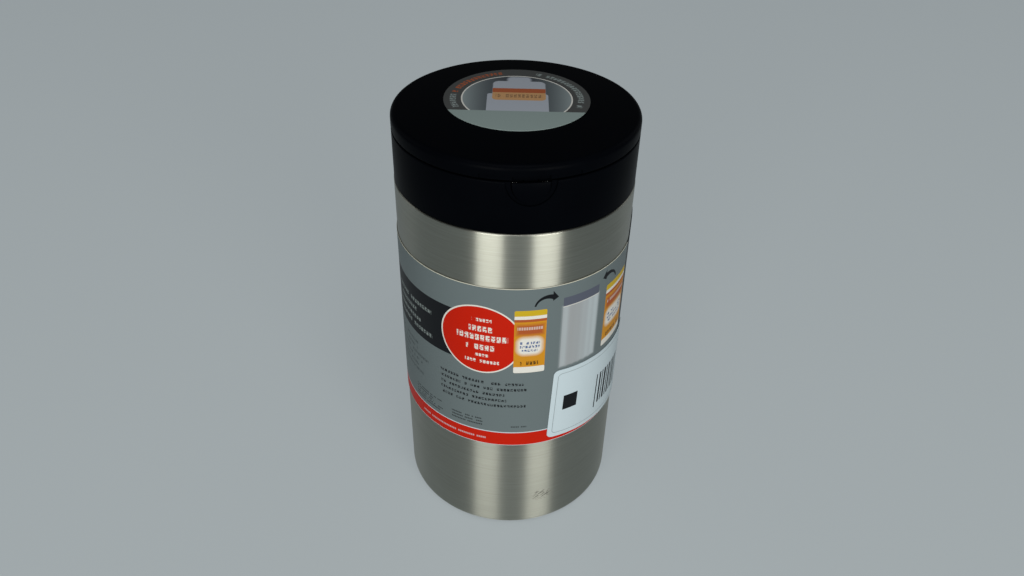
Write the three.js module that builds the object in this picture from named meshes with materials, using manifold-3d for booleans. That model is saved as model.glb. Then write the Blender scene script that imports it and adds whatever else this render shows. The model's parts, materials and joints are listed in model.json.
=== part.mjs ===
/**
 * A push-button, flip-lid canister that holds a tub of wipes.
 *
 * A drawn steel can carries a moulded collar at its mouth. The collar holds the push button with its two
 * return springs, and the knuckles of the lid's hinge. The lid is a shell with an inner panel, whose tongue
 * hooks under the button's crossbar.
 *
 * Millimetres, +Z up, the origin at the centre of the base, the push button facing -Y and the hinge at +Y.
 * A "depth" is a distance from the can's axis towards the front, so y = -depth.
 */
import * as THREE from 'three';
import { mergeVertices } from 'three/addons/utils/BufferGeometryUtils.js';
import Module from 'manifold-3d';

const wasm = await Module();
wasm.setup();

// Roundness of the model
const RING_SEGMENTS = 60;
const CORNER_STEPS = 3;
const SMALL_ROUND_STEPS = 9;

// Gaps
const SEAT_GAP = 0.3; // between pieces that rest on each other or are screwed together
const RUN_GAP = 0.2; // between the pieces of the latch that pass each other
const SHEET_GAP = 0.2; // between a printed sheet and what it is stuck on

// Overall form
const BODY_R = 61;
const STEEL_TOP_Z = 204.9;
const COLLAR_H = 26.8;
const PARTING_GAP = 0.9;
const LID_H = 7.4;
const COLLAR_TOP_Z = STEEL_TOP_Z + COLLAR_H;
const LID_LOW_Z = COLLAR_TOP_Z + PARTING_GAP;
const LID_TOP_Z = LID_LOW_Z + LID_H;

// Drawn steel can
const STEEL_T = 0.8;
const STEEL_CORNER_R = 4.5;
const HEM_T = 1.6;
const HEM_H = 5;
const HEM_ROUND = 0.7;
const PAD_INSET = 6.5; // of the pad's edge from the can's outside
const PAD_T = 1.7;
const PAD_PROUD = 0.9;
const PAD_EDGE = 0.4;
const RECESS_ROUND = 0.6;

// Collar
const COLLAR_INSET = 0.2;
const SKIRT_T = 1.7;
const SKIRT_H = 13;
const MOUTH_LIP = 1.4;
const MOUTH_LIP_H = 2;
const COLLAR_EDGE_R = 0.6;
const SNAP_BEAD = 0.6;
const SNAP_BEAD_H = 1.6;

// Push button, its heights all taken from the collar's top face
const BUTTON_R = 8.7;
const BUTTON_ARC_Z = COLLAR_TOP_Z - 1.8;
const BUTTON_TOP_GAP = 0.3;
const BUTTON_SINK = 0.2;
const BUTTON_FACE_T = 1.2;
const BUTTON_TRAVEL = 1.2;
const BUTTON_SIDE_GAP = 0.3;
const DISH_R = 11.7;
const DISH_DEPTH = 0.8;
const DISH_Z = COLLAR_TOP_Z - 0.2;
const ARM_X = 4.3;
const ARM_T = 1.4;
const ARM_LOW_Z = COLLAR_TOP_Z - 7.1;
const ARM_HIGH_Z = COLLAR_TOP_Z - 2.1;
const EAR_REACH = 9.8;
const EAR_H = 1.6;
const CATCH_LOW_Z = COLLAR_TOP_Z - 4.8;
const CATCH_H = 1.6;
const CATCH_T = 1.2;

// Latch tongue on the lid
const TONGUE_W = 6;
const TONGUE_T = 1.2;
const TONGUE_TIP_Z = COLLAR_TOP_Z - 7.1;
const BARB = 0.8;
const TONGUE_SLOT_SIDE_GAP = 0.6;

// Latch housing inside the collar
const POCKET_HALF_W = 10.3;
const HOUSING_WALL = 3.3;
const HOUSING_LOW_Z = COLLAR_TOP_Z - 13.1;
const POCKET_LOW_Z = COLLAR_TOP_Z - 11.3;
const POCKET_HIGH_Z = COLLAR_TOP_Z - 1;
const COVER_T = 0.9;
const SCREW_Z = COLLAR_TOP_Z - 6.2;
const SCREW_HEAD_R = 1.6;
const SCREW_HEAD_H = 0.8;
const SCREW_SHANK_R = 0.75;
const SCREW_LENGTH = 3.2;

// Button return springs
const BUTTON_SPRING_X = 6.8;
const BUTTON_SPRING_Z = COLLAR_TOP_Z - 2.7;
const BUTTON_SPRING_R = 1.2;
const BUTTON_SPRING_WIRE = 0.35;
const BUTTON_SPRING_TURNS = 4;
const SPIGOT_R = 0.65;
const SPIGOT_LENGTH = 1.3;

// Lid
const LID_T = 2;
const LID_EDGE_R = 2.9;
const LID_FOOT_ROUND = 0.4;
const PANEL_T = 1.4;
const PANEL_SINK = 1.8; // height of the panel over the shell's lower edge
const PANEL_RIM_T = 1.6;
const LID_POST_R = 2.6;
const LID_POST_CIRCLE_R = 44;
const LID_POSTS = 4;
const SCOOP_HALF_ANGLE = THREE.MathUtils.degToRad(22);
const SCOOP_H = 2.1;
const SCOOP_DEPTH = 0.5;
const NOTCH_HALF_W = 8.5;

// Hinge
const BARREL_R = 2.8;
const BARREL_GAP = 0.4; // between the barrel and the collar's outside
const PIN_R = 1;
const LID_KNUCKLE_HALF_W = 5;
const COLLAR_KNUCKLE_X = 10;
const COLLAR_KNUCKLE_W = 5;
const COLLAR_GUSSET_H = 9.7;
const LID_GUSSET_H = 4.9;
const HINGE_SPRING_R = 1.9;
const HINGE_SPRING_WIRE = 0.6;
const HINGE_SPRING_TURNS = 4;
const HINGE_SPRING_PITCH = 0.8;
const HINGE_SPRING_LEG = 6;

// Printed sheets
const SHEET_T = 0.25;
const LABEL_LOW_Z = 68.8;
const LABEL_HIGH_Z = STEEL_TOP_Z - 29.9;
const FRONT_PANEL_HIGH_Z = STEEL_TOP_Z - 17.9;
const FRONT_PANEL_FROM = THREE.MathUtils.degToRad(71);
const FRONT_PANEL_TO = THREE.MathUtils.degToRad(167);
const FRONT_PANEL_CORNER_R = 12;
const STICKER_LOW_Z = LABEL_LOW_Z + 1.3;
const STICKER_HIGH_Z = STICKER_LOW_Z + 48.3;
const STICKER_FROM = THREE.MathUtils.degToRad(13.2);
const STICKER_TO = THREE.MathUtils.degToRad(77);
const STICKER_CORNER_R = 3;
const LID_LABEL_R = 36;
const LID_LABEL_X = 1.2;
const LID_LABEL_Y = 7.8;

// Sizes that follow
const PAD_R = BODY_R - PAD_INSET;
const COLLAR_R = BODY_R - COLLAR_INSET;
const SKIRT_OUT_R = BODY_R - HEM_T - SEAT_GAP;
const SKIRT_IN_R = SKIRT_OUT_R - SKIRT_T;
const MOUTH_R = SKIRT_IN_R - MOUTH_LIP;
const SKIRT_LOW_Z = STEEL_TOP_Z - SKIRT_H;
const LID_IN_R = COLLAR_R - LID_T;
const LID_UNDER_Z = LID_TOP_Z - LID_T;
const PANEL_LOW_Z = LID_LOW_Z + PANEL_SINK;
const PANEL_HIGH_Z = PANEL_LOW_Z + PANEL_T;
const PANEL_R = LID_IN_R - SEAT_GAP;

// The latch, from the button's face inwards
const FACE_DEPTH = COLLAR_R - BUTTON_SINK;
const FACE_BACK_DEPTH = FACE_DEPTH - BUTTON_FACE_T;
const TONGUE_DEPTH = FACE_BACK_DEPTH - BUTTON_TRAVEL - RUN_GAP;
const TONGUE_BACK_DEPTH = TONGUE_DEPTH - TONGUE_T;
const BARB_DEPTH = TONGUE_BACK_DEPTH - BARB;
const CATCH_DEPTH = TONGUE_BACK_DEPTH - RUN_GAP;
const CATCH_BACK_DEPTH = CATCH_DEPTH - CATCH_T;
const COVER_DEPTH = CATCH_BACK_DEPTH - BUTTON_TRAVEL - SEAT_GAP;
const COVER_BACK_DEPTH = COVER_DEPTH - COVER_T;
const HOUSING_BACK_DEPTH = COVER_DEPTH + SEAT_GAP;
const POCKET_DEPTH = TONGUE_DEPTH;
const EAR_DEPTH = POCKET_DEPTH - SEAT_GAP;
const HOUSING_HALF_W = POCKET_HALF_W + HOUSING_WALL;
const SCREW_X = POCKET_HALF_W + HOUSING_WALL / 2;

const HINGE_Y = COLLAR_R + BARREL_GAP + BARREL_R;
const HINGE_Z = COLLAR_TOP_Z + PARTING_GAP / 2;
const PIN_HALF_LENGTH = COLLAR_KNUCKLE_X + COLLAR_KNUCKLE_W + SEAT_GAP;
const HINGE_SPRING_X = (LID_KNUCKLE_HALF_W + COLLAR_KNUCKLE_X) / 2;

const SHEET_IN_R = BODY_R + SHEET_GAP;
const SHEET_OUT_R = SHEET_IN_R + SHEET_T;

const FINISHES = {
  steel: { color: 0xb4b0a6, roughness: 0.32, metalness: 1 },
  springWire: { color: 0x9a9a9a, roughness: 0.35, metalness: 1 },
  blackPlastic: { color: 0x121316, roughness: 0.48, metalness: 0 },
  blackFoot: { color: 0x17181a, roughness: 0.85, metalness: 0 },
  label: { color: 0x8d8f92, roughness: 0.42, metalness: 0 },
  sticker: { color: 0xe9e9e6, roughness: 0.5, metalness: 0 },
  lidLabel: { color: 0x55585c, roughness: 0.4, metalness: 0 },
};

/** Turns a closed three.js geometry into a solid that can be joined and cut. */
function solid(geometry) {
  const bare = geometry.clone();
  bare.deleteAttribute('normal');
  bare.deleteAttribute('uv');
  const merged = mergeVertices(bare);
  const corners = merged.index.array;
  const triangles = [];
  for (let i = 0; i < corners.length; i += 3) {
    const [a, b, c] = corners.slice(i, i + 3);
    if (a !== b && b !== c && c !== a) triangles.push(a, b, c);
  }
  return new wasm.Manifold(new wasm.Mesh({
    numProp: 3,
    vertProperties: Float32Array.from(merged.attributes.position.array),
    triVerts: Uint32Array.from(triangles),
  }));
}

/** Turns a solid back into a geometry that a mesh can show. */
function geometryOf(body) {
  const { vertProperties, triVerts } = body.getMesh();
  const geometry = new THREE.BufferGeometry();
  geometry.setAttribute('position', new THREE.BufferAttribute(vertProperties, 3));
  geometry.setIndex(new THREE.BufferAttribute(triVerts, 1));
  geometry.computeVertexNormals();
  return geometry;
}

/** Points of an outline given as [x, y, radius] corners: a corner with a radius becomes an arc. */
function outline(corners, steps = CORNER_STEPS) {
  const at = (i) => new THREE.Vector2(...corners[(i + corners.length) % corners.length]);
  return corners.flatMap(([x, y, radius = 0], i) => {
    const corner = new THREE.Vector2(x, y);
    if (radius === 0) return [corner];
    const before = at(i - 1).sub(corner).normalize();
    const after = at(i + 1).sub(corner).normalize();
    const half = Math.acos(THREE.MathUtils.clamp(before.dot(after), -1, 1)) / 2;
    const centre = before.clone().add(after).setLength(radius / Math.sin(half)).add(corner);
    const start = before.multiplyScalar(radius / Math.tan(half)).add(corner).sub(centre);
    const end = after.multiplyScalar(radius / Math.tan(half)).add(corner).sub(centre);
    const sweep = Math.atan2(start.cross(end), start.dot(end));
    return Array.from({ length: steps + 1 }, (_, k) => (
      start.clone().rotateAround(new THREE.Vector2(), (sweep * k) / steps).add(centre)));
  });
}

/** Revolves a profile of [radius, z, rounding] corners, given anticlockwise, about the Z axis. */
function revolve(corners, segments = RING_SEGMENTS) {
  const profile = outline(corners);
  const onAxis = corners[0][0] === 0;
  if (!onAxis) profile.push(profile[0].clone());
  return solid(new THREE.LatheGeometry(profile, segments).rotateX(Math.PI / 2));
}

/** Extrudes a shape drawn in x and y from one height to another. */
function extrudeUp(shape, lowZ, highZ) {
  const options = { depth: highZ - lowZ, bevelEnabled: false, curveSegments: SMALL_ROUND_STEPS };
  return solid(new THREE.ExtrudeGeometry(shape, options).translate(0, 0, lowZ));
}

/** Extrudes a shape drawn in x and z from one depth out to another, towards the front. */
function extrudeForward(shape, innerDepth, outerDepth) {
  const options = { depth: outerDepth - innerDepth, bevelEnabled: false, curveSegments: SMALL_ROUND_STEPS };
  const geometry = new THREE.ExtrudeGeometry(shape, options).rotateX(Math.PI / 2);
  return solid(geometry.translate(0, -innerDepth, 0));
}

/** Extrudes a shape drawn in y and z between two places along X. */
function extrudeAcross(shape, fromX, toX) {
  const options = { depth: toX - fromX, bevelEnabled: false, curveSegments: SMALL_ROUND_STEPS };
  const across = new THREE.Matrix4().makeBasis(
    new THREE.Vector3(0, 1, 0), new THREE.Vector3(0, 0, 1), new THREE.Vector3(1, 0, 0));
  const geometry = new THREE.ExtrudeGeometry(shape, options).applyMatrix4(across);
  return solid(geometry.translate(fromX, 0, 0));
}

/** A shape through the points of an outline. */
function shapeOf(corners) {
  return new THREE.Shape(outline(corners));
}

/** A rectangle as a shape, with one radius on its four corners. */
function rectangle(fromX, toX, fromY, toY, radius = 0) {
  return shapeOf([[fromX, fromY, radius], [toX, fromY, radius], [toX, toY, radius], [fromX, toY, radius]]);
}

/** A round rod along Y, between two depths. */
function rodForward(x, z, radius, innerDepth, outerDepth) {
  return extrudeForward(new THREE.Shape().absarc(x, z, radius, 0, 2 * Math.PI), innerDepth, outerDepth);
}

/** The push button's outline in x and z: a flat top over a half round. */
function buttonShape(radius, topZ) {
  const shape = new THREE.Shape();
  shape.moveTo(-radius, topZ);
  shape.lineTo(-radius, BUTTON_ARC_Z);
  shape.absarc(0, BUTTON_ARC_Z, radius, Math.PI, 2 * Math.PI);
  shape.lineTo(radius, topZ);
  return shape;
}

/** A wire of round section along a curve. */
function wire(curve, diameter, steps) {
  const section = new THREE.Shape(new THREE.EllipseCurve(0, 0, diameter / 2, diameter / 2).getPoints(6).slice(0, 6));
  return solid(new THREE.ExtrudeGeometry(section, { steps, extrudePath: curve, bevelEnabled: false }));
}

/** A sheet wrapped round the can. Each column gives its angle from the front and its two heights. */
function wrappedSheet(columns, innerR, outerR, closesOnItself) {
  const positions = columns.flatMap(({ angle, low, high }) => {
    const corners = [[outerR, low], [outerR, high], [innerR, high], [innerR, low]];
    return corners.flatMap(([r, z]) => [r * Math.sin(angle), -r * Math.cos(angle), z]);
  });
  const triangles = [];
  const spans = closesOnItself ? columns.length : columns.length - 1;
  for (let i = 0; i < spans; i += 1) {
    const here = 4 * i;
    const next = 4 * ((i + 1) % columns.length);
    for (let k = 0; k < 4; k += 1) {
      const l = (k + 1) % 4;
      triangles.push(here + k, next + k, next + l, here + k, next + l, here + l);
    }
  }
  if (!closesOnItself) {
    const end = 4 * (columns.length - 1);
    triangles.push(0, 1, 2, 0, 2, 3, end, end + 2, end + 1, end, end + 3, end + 2);
  }
  const geometry = new THREE.BufferGeometry();
  geometry.setAttribute('position', new THREE.Float32BufferAttribute(positions, 3));
  geometry.setIndex(triangles);
  return solid(geometry);
}

/** How far a round corner has dropped an edge at a distance in from its end. */
function cornerDrop(distance, radius) {
  const inset = THREE.MathUtils.clamp(distance, 0, radius);
  return radius - Math.sqrt(radius * radius - (radius - inset) ** 2);
}

/** The drawn can: a rounded foot, a recess for the pad and a hem folded inwards at the mouth. */
function steelBody() {
  const innerR = BODY_R - STEEL_T;
  const recessR = PAD_R + SEAT_GAP;
  const recessZ = PAD_T + SEAT_GAP;
  const hemR = BODY_R - HEM_T;
  return revolve([
    [0, recessZ],
    [recessR, recessZ, RECESS_ROUND],
    [recessR, PAD_PROUD, RECESS_ROUND / 2],
    [BODY_R, PAD_PROUD, STEEL_CORNER_R],
    [BODY_R, STEEL_TOP_Z, HEM_ROUND],
    [hemR, STEEL_TOP_Z, HEM_ROUND],
    [hemR, STEEL_TOP_Z - HEM_H],
    [innerR, STEEL_TOP_Z - HEM_H - STEEL_T],
    [innerR, PAD_PROUD + STEEL_T, STEEL_CORNER_R - STEEL_T],
    [recessR + STEEL_T, PAD_PROUD + STEEL_T],
    [recessR + STEEL_T, recessZ + STEEL_T],
    [0, recessZ + STEEL_T],
  ]);
}

/** The non-slip disc under the can. */
function basePad() {
  return revolve([[0, 0], [PAD_R, 0, PAD_EDGE], [PAD_R, PAD_T], [0, PAD_T]]);
}

/** The collar's ring, with the skirt and snap bead that hold it in the can's hem. */
function collarRing() {
  const beadTopZ = STEEL_TOP_Z - HEM_H - STEEL_T - SEAT_GAP;
  const lipZ = COLLAR_TOP_Z - MOUTH_LIP_H;
  return revolve([
    [SKIRT_IN_R, SKIRT_LOW_Z],
    [SKIRT_OUT_R, SKIRT_LOW_Z, HEM_ROUND / 2],
    [SKIRT_OUT_R, beadTopZ - SNAP_BEAD_H],
    [SKIRT_OUT_R + SNAP_BEAD, beadTopZ - SNAP_BEAD_H / 2],
    [SKIRT_OUT_R, beadTopZ],
    [SKIRT_OUT_R, STEEL_TOP_Z + SEAT_GAP],
    [COLLAR_R, STEEL_TOP_Z + SEAT_GAP, COLLAR_EDGE_R],
    [COLLAR_R, COLLAR_TOP_Z, COLLAR_EDGE_R],
    [MOUTH_R, COLLAR_TOP_Z, COLLAR_EDGE_R],
    [MOUTH_R, lipZ],
    [SKIRT_IN_R, lipZ - MOUTH_LIP],
  ]);
}

/** The space that the push button, its opening and its latch need in the collar. */
function latchSpace() {
  const aboveCollar = COLLAR_TOP_Z + PARTING_GAP;
  const opening = extrudeForward(
    buttonShape(BUTTON_R + BUTTON_SIDE_GAP, aboveCollar), POCKET_DEPTH - RUN_GAP, BODY_R + PARTING_GAP);
  const pocket = extrudeForward(
    rectangle(-POCKET_HALF_W, POCKET_HALF_W, POCKET_LOW_Z, POCKET_HIGH_Z), COVER_DEPTH, POCKET_DEPTH);
  const slotHalfW = TONGUE_W / 2 + TONGUE_SLOT_SIDE_GAP;
  const slot = extrudeForward(
    rectangle(-slotHalfW, slotHalfW, POCKET_HIGH_Z - RUN_GAP, aboveCollar),
    BARB_DEPTH - TONGUE_SLOT_SIDE_GAP, POCKET_DEPTH);
  return opening.add(pocket).add(slot);
}

/** The shallow round dish about the push button. */
function buttonDish() {
  const disc = extrudeForward(
    new THREE.Shape().absarc(0, DISH_Z, DISH_R, 0, 2 * Math.PI), COLLAR_R / 2, BODY_R + PARTING_GAP);
  const floorR = COLLAR_R - DISH_DEPTH;
  const core = revolve([[0, DISH_Z - 2 * DISH_R], [floorR, DISH_Z - 2 * DISH_R], [floorR, LID_TOP_Z], [0, LID_TOP_Z]]);
  return disc.subtract(core);
}

/** Where a line from a point touches a circle, on the chosen side (1 or -1). */
function tangentPoint(point, centre, radius, side) {
  const toPoint = point.clone().sub(centre);
  const turn = side * Math.acos(radius / toPoint.length());
  return toPoint.setLength(radius).rotateAround(new THREE.Vector2(), turn).add(centre);
}

/** One knuckle of the hinge with the gusset that joins it to a wall, between two places along X. */
function knuckle(rootY, rootZ, gussetY, gussetZ, side, fromX, toX) {
  const centre = new THREE.Vector2(HINGE_Y, HINGE_Z);
  const edge = new THREE.Vector2(gussetY, gussetZ);
  const touch = tangentPoint(edge, centre, BARREL_R, side);
  const barrel = extrudeAcross(new THREE.Shape().absarc(HINGE_Y, HINGE_Z, BARREL_R, 0, 2 * Math.PI), fromX, toX);
  const gusset = new THREE.Shape([
    new THREE.Vector2(rootY, rootZ), new THREE.Vector2(rootY, gussetZ), edge, touch, centre,
  ]);
  return barrel.add(extrudeAcross(gusset, fromX, toX));
}

/** The hole that the hinge pin runs in. */
function pinHole() {
  const circle = new THREE.Shape().absarc(HINGE_Y, HINGE_Z, PIN_R + SEAT_GAP, 0, 2 * Math.PI);
  return extrudeAcross(circle, -BODY_R / 2, BODY_R / 2);
}

/** The collar: ring, latch housing, button dish and opening, and the hinge's two outer knuckles. */
function collar() {
  const housing = extrudeUp(
    rectangle(-HOUSING_HALF_W, HOUSING_HALF_W, -(SKIRT_OUT_R + COLLAR_R) / 2, -HOUSING_BACK_DEPTH),
    HOUSING_LOW_Z, COLLAR_TOP_Z);
  const inside = revolve([
    [0, HOUSING_LOW_Z - 1], [SKIRT_OUT_R, HOUSING_LOW_Z - 1], [SKIRT_OUT_R, LID_TOP_Z], [0, LID_TOP_Z]]);
  const rootY = SKIRT_IN_R + SEAT_GAP;
  const outerY = Math.sqrt(COLLAR_R ** 2 - (COLLAR_KNUCKLE_X + COLLAR_KNUCKLE_W) ** 2) + SEAT_GAP;
  let body = collarRing().add(housing.intersect(inside)).subtract(buttonDish()).subtract(latchSpace());
  for (const side of [-1, 1]) {
    const pilot = rodForward(
      side * SCREW_X, SCREW_Z, SCREW_SHANK_R + RUN_GAP, 0, HOUSING_BACK_DEPTH + SCREW_LENGTH);
    const near = side * COLLAR_KNUCKLE_X;
    const far = side * (COLLAR_KNUCKLE_X + COLLAR_KNUCKLE_W);
    const arm = knuckle(
      rootY, COLLAR_TOP_Z, outerY, COLLAR_TOP_Z - COLLAR_GUSSET_H, 1, Math.min(near, far), Math.max(near, far));
    body = body.subtract(pilot).add(arm);
  }
  return body.subtract(pinHole());
}

/** The push button: face, two arms with stop ears, and the crossbar that holds the lid's tongue. */
function pushButton() {
  const front = revolve([[0, 0], [FACE_DEPTH, 0], [FACE_DEPTH, LID_TOP_Z], [0, LID_TOP_Z]]);
  const face = extrudeForward(
    buttonShape(BUTTON_R, COLLAR_TOP_Z - BUTTON_TOP_GAP), FACE_BACK_DEPTH, BODY_R).intersect(front);
  const catchHighZ = CATCH_LOW_Z + CATCH_H;
  const armSide = shapeOf([
    [-FACE_BACK_DEPTH - RUN_GAP, ARM_LOW_Z],
    [-CATCH_BACK_DEPTH, ARM_LOW_Z],
    [-CATCH_BACK_DEPTH, catchHighZ],
    [-CATCH_DEPTH, catchHighZ, CATCH_T / 2],
    [-CATCH_DEPTH - CATCH_T, ARM_HIGH_Z],
    [-FACE_BACK_DEPTH - RUN_GAP, ARM_HIGH_Z],
  ]);
  const catchSide = shapeOf([
    [-CATCH_DEPTH, CATCH_LOW_Z],
    [-CATCH_BACK_DEPTH, CATCH_LOW_Z],
    [-CATCH_BACK_DEPTH, catchHighZ],
    [-CATCH_DEPTH, catchHighZ, CATCH_T / 2],
  ]);
  const armOutX = ARM_X + ARM_T / 2;
  let body = face.add(extrudeAcross(catchSide, -armOutX, armOutX));
  for (const side of [-1, 1]) {
    const arm = extrudeAcross(armSide, side * ARM_X - ARM_T / 2, side * ARM_X + ARM_T / 2);
    const earFrom = Math.min(side * ARM_X, side * EAR_REACH);
    const ear = extrudeForward(
      rectangle(earFrom, earFrom + EAR_REACH - ARM_X, ARM_LOW_Z, ARM_LOW_Z + EAR_H, RUN_GAP),
      EAR_DEPTH - CATCH_T, EAR_DEPTH);
    const spigot = rodForward(
      side * BUTTON_SPRING_X, BUTTON_SPRING_Z, SPIGOT_R, FACE_BACK_DEPTH - SPIGOT_LENGTH, FACE_BACK_DEPTH + RUN_GAP);
    body = body.add(arm).add(ear).add(spigot);
  }
  return body;
}

/** The plate that closes the latch housing from inside, with a spigot for each return spring. */
function latchCover() {
  let plate = extrudeForward(
    rectangle(-HOUSING_HALF_W, HOUSING_HALF_W, HOUSING_LOW_Z, COLLAR_TOP_Z - COLLAR_EDGE_R, COLLAR_EDGE_R),
    COVER_BACK_DEPTH, COVER_DEPTH);
  for (const side of [-1, 1]) {
    const spigot = rodForward(
      side * BUTTON_SPRING_X, BUTTON_SPRING_Z, SPIGOT_R, COVER_DEPTH - RUN_GAP, COVER_DEPTH + SPIGOT_LENGTH);
    const hole = rodForward(side * SCREW_X, SCREW_Z, SCREW_SHANK_R + RUN_GAP, 0, BODY_R);
    plate = plate.add(spigot).subtract(hole);
  }
  return plate;
}

/** One screw of the latch cover, its head inside the can. */
function latchScrew(side) {
  const headDepth = COVER_BACK_DEPTH - RUN_GAP;
  const head = rodForward(side * SCREW_X, SCREW_Z, SCREW_HEAD_R, headDepth - SCREW_HEAD_H, headDepth);
  const shank = rodForward(
    side * SCREW_X, SCREW_Z, SCREW_SHANK_R, headDepth - SCREW_HEAD_H / 2, HOUSING_BACK_DEPTH + SCREW_LENGTH - SEAT_GAP);
  return head.add(shank);
}

/** One return spring of the push button, a coil along Y. */
function buttonSpring(side) {
  const inner = COVER_DEPTH + RUN_GAP + BUTTON_SPRING_WIRE / 2;
  const outer = FACE_BACK_DEPTH - RUN_GAP - BUTTON_SPRING_WIRE / 2;
  const pointsPerTurn = 10;
  const count = BUTTON_SPRING_TURNS * pointsPerTurn;
  const points = Array.from({ length: count + 1 }, (_, i) => {
    const turn = (2 * Math.PI * i) / pointsPerTurn;
    return new THREE.Vector3(
      side * BUTTON_SPRING_X + BUTTON_SPRING_R * Math.cos(turn),
      -THREE.MathUtils.lerp(inner, outer, i / count),
      BUTTON_SPRING_Z + BUTTON_SPRING_R * Math.sin(turn));
  });
  return wire(new THREE.CatmullRomCurve3(points), BUTTON_SPRING_WIRE, count);
}

/** The pin that the lid turns on. */
function hingePin() {
  const circle = new THREE.Shape().absarc(HINGE_Y, HINGE_Z, PIN_R, 0, 2 * Math.PI);
  return extrudeAcross(circle, -PIN_HALF_LENGTH, PIN_HALF_LENGTH);
}

/** One lid spring: a coil round the pin, with one leg on the collar and one on the lid. */
function hingeSpring(side) {
  const wallY = Math.sqrt(COLLAR_R ** 2 - HINGE_SPRING_X ** 2) + SEAT_GAP + HINGE_SPRING_WIRE / 2;
  const pointsPerTurn = 10;
  const count = HINGE_SPRING_TURNS * pointsPerTurn;
  const halfCoil = (HINGE_SPRING_TURNS * HINGE_SPRING_PITCH) / 2;
  const coil = Array.from({ length: count + 1 }, (_, i) => {
    const turn = (2 * Math.PI * i) / pointsPerTurn;
    return new THREE.Vector3(
      side * (HINGE_SPRING_X + THREE.MathUtils.lerp(-halfCoil, halfCoil, i / count)),
      HINGE_Y - HINGE_SPRING_R * Math.cos(turn),
      HINGE_Z + HINGE_SPRING_R * Math.sin(turn));
  });
  const leg = (x, up) => new THREE.Vector3(x, wallY, HINGE_Z + up * HINGE_SPRING_LEG);
  const points = [leg(coil[0].x, -1), ...coil, leg(coil[count].x, 1)];
  return wire(new THREE.CatmullRomCurve3(points, false, 'centripetal'), HINGE_SPRING_WIRE, count + 14);
}

/** The lid's outer shell: flat top, round edge, thumb scoop and button notch, posts and middle knuckle. */
function lidShell() {
  const shell = revolve([
    [0, LID_UNDER_Z],
    [LID_IN_R, LID_UNDER_Z, LID_T / 2],
    [LID_IN_R, LID_LOW_Z],
    [COLLAR_R, LID_LOW_Z, LID_FOOT_ROUND],
    [COLLAR_R, LID_TOP_Z, LID_EDGE_R],
    [0, LID_TOP_Z],
  ]);
  const scoopZ = LID_LOW_Z + SCOOP_H;
  const front = -Math.PI / 2;
  const scoopShape = new THREE.Shape();
  scoopShape.absarc(0, 0, BODY_R + 1, front - SCOOP_HALF_ANGLE, front + SCOOP_HALF_ANGLE, false);
  scoopShape.absarc(0, 0, COLLAR_R - SCOOP_DEPTH, front + SCOOP_HALF_ANGLE, front - SCOOP_HALF_ANGLE, true);
  const scoop = extrudeUp(scoopShape, LID_LOW_Z - PARTING_GAP, scoopZ);
  const notch = extrudeForward(
    rectangle(-NOTCH_HALF_W, NOTCH_HALF_W, LID_LOW_Z - PARTING_GAP, scoopZ), PANEL_R + SEAT_GAP / 2, BODY_R + 1);
  const lidKnuckle = knuckle(
    LID_IN_R + LID_T / 2, LID_LOW_Z + SEAT_GAP, COLLAR_R - SEAT_GAP, LID_LOW_Z + LID_GUSSET_H, -1,
    -LID_KNUCKLE_HALF_W, LID_KNUCKLE_HALF_W);
  let body = shell.subtract(scoop).subtract(notch).add(lidKnuckle).subtract(pinHole());
  for (let i = 0; i < LID_POSTS; i += 1) {
    const angle = (2 * Math.PI * (i + 0.5)) / LID_POSTS;
    const x = LID_POST_CIRCLE_R * Math.cos(angle);
    const y = LID_POST_CIRCLE_R * Math.sin(angle);
    const circle = new THREE.Shape().absarc(x, y, LID_POST_R, 0, 2 * Math.PI);
    body = body.add(extrudeUp(circle, PANEL_HIGH_Z + SEAT_GAP, LID_UNDER_Z + LID_T / 2));
  }
  return body;
}

/** The lid's inner panel, with the rim that closes on the collar and the latch tongue. */
function lidInnerPanel() {
  const rimZ = COLLAR_TOP_Z + SEAT_GAP;
  const plate = revolve([
    [0, PANEL_LOW_Z],
    [PANEL_R - PANEL_RIM_T, PANEL_LOW_Z, PANEL_RIM_T / 2],
    [PANEL_R - PANEL_RIM_T, rimZ],
    [PANEL_R, rimZ],
    [PANEL_R, PANEL_HIGH_Z],
    [0, PANEL_HIGH_Z],
  ]);
  const barbTopZ = CATCH_LOW_Z - SEAT_GAP;
  const tongue = shapeOf([
    [-TONGUE_DEPTH, PANEL_LOW_Z + RUN_GAP],
    [-TONGUE_DEPTH, TONGUE_TIP_Z, TONGUE_T / 3],
    [-TONGUE_BACK_DEPTH, TONGUE_TIP_Z],
    [-BARB_DEPTH, barbTopZ - RUN_GAP * 2],
    [-BARB_DEPTH, barbTopZ],
    [-TONGUE_BACK_DEPTH, barbTopZ],
    [-TONGUE_BACK_DEPTH, COLLAR_TOP_Z],
    [-TONGUE_BACK_DEPTH + BARB, PANEL_LOW_Z + RUN_GAP],
  ]);
  return plate.add(extrudeAcross(tongue, -TONGUE_W / 2, TONGUE_W / 2));
}

/** The printed wrap round the can, taller at its front panel. */
function wrapLabel() {
  const count = 2 * RING_SEGMENTS;
  const columns = Array.from({ length: count }, (_, i) => {
    const angle = (2 * Math.PI * i) / count;
    const inFromEdge = Math.min(angle - FRONT_PANEL_FROM, FRONT_PANEL_TO - angle) * SHEET_OUT_R;
    const panelHigh = FRONT_PANEL_HIGH_Z - cornerDrop(inFromEdge, FRONT_PANEL_CORNER_R);
    const high = inFromEdge < 0 ? LABEL_HIGH_Z : Math.max(LABEL_HIGH_Z, panelHigh);
    return { angle, low: LABEL_LOW_Z, high };
  });
  return wrappedSheet(columns, SHEET_IN_R, SHEET_OUT_R, true);
}

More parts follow.
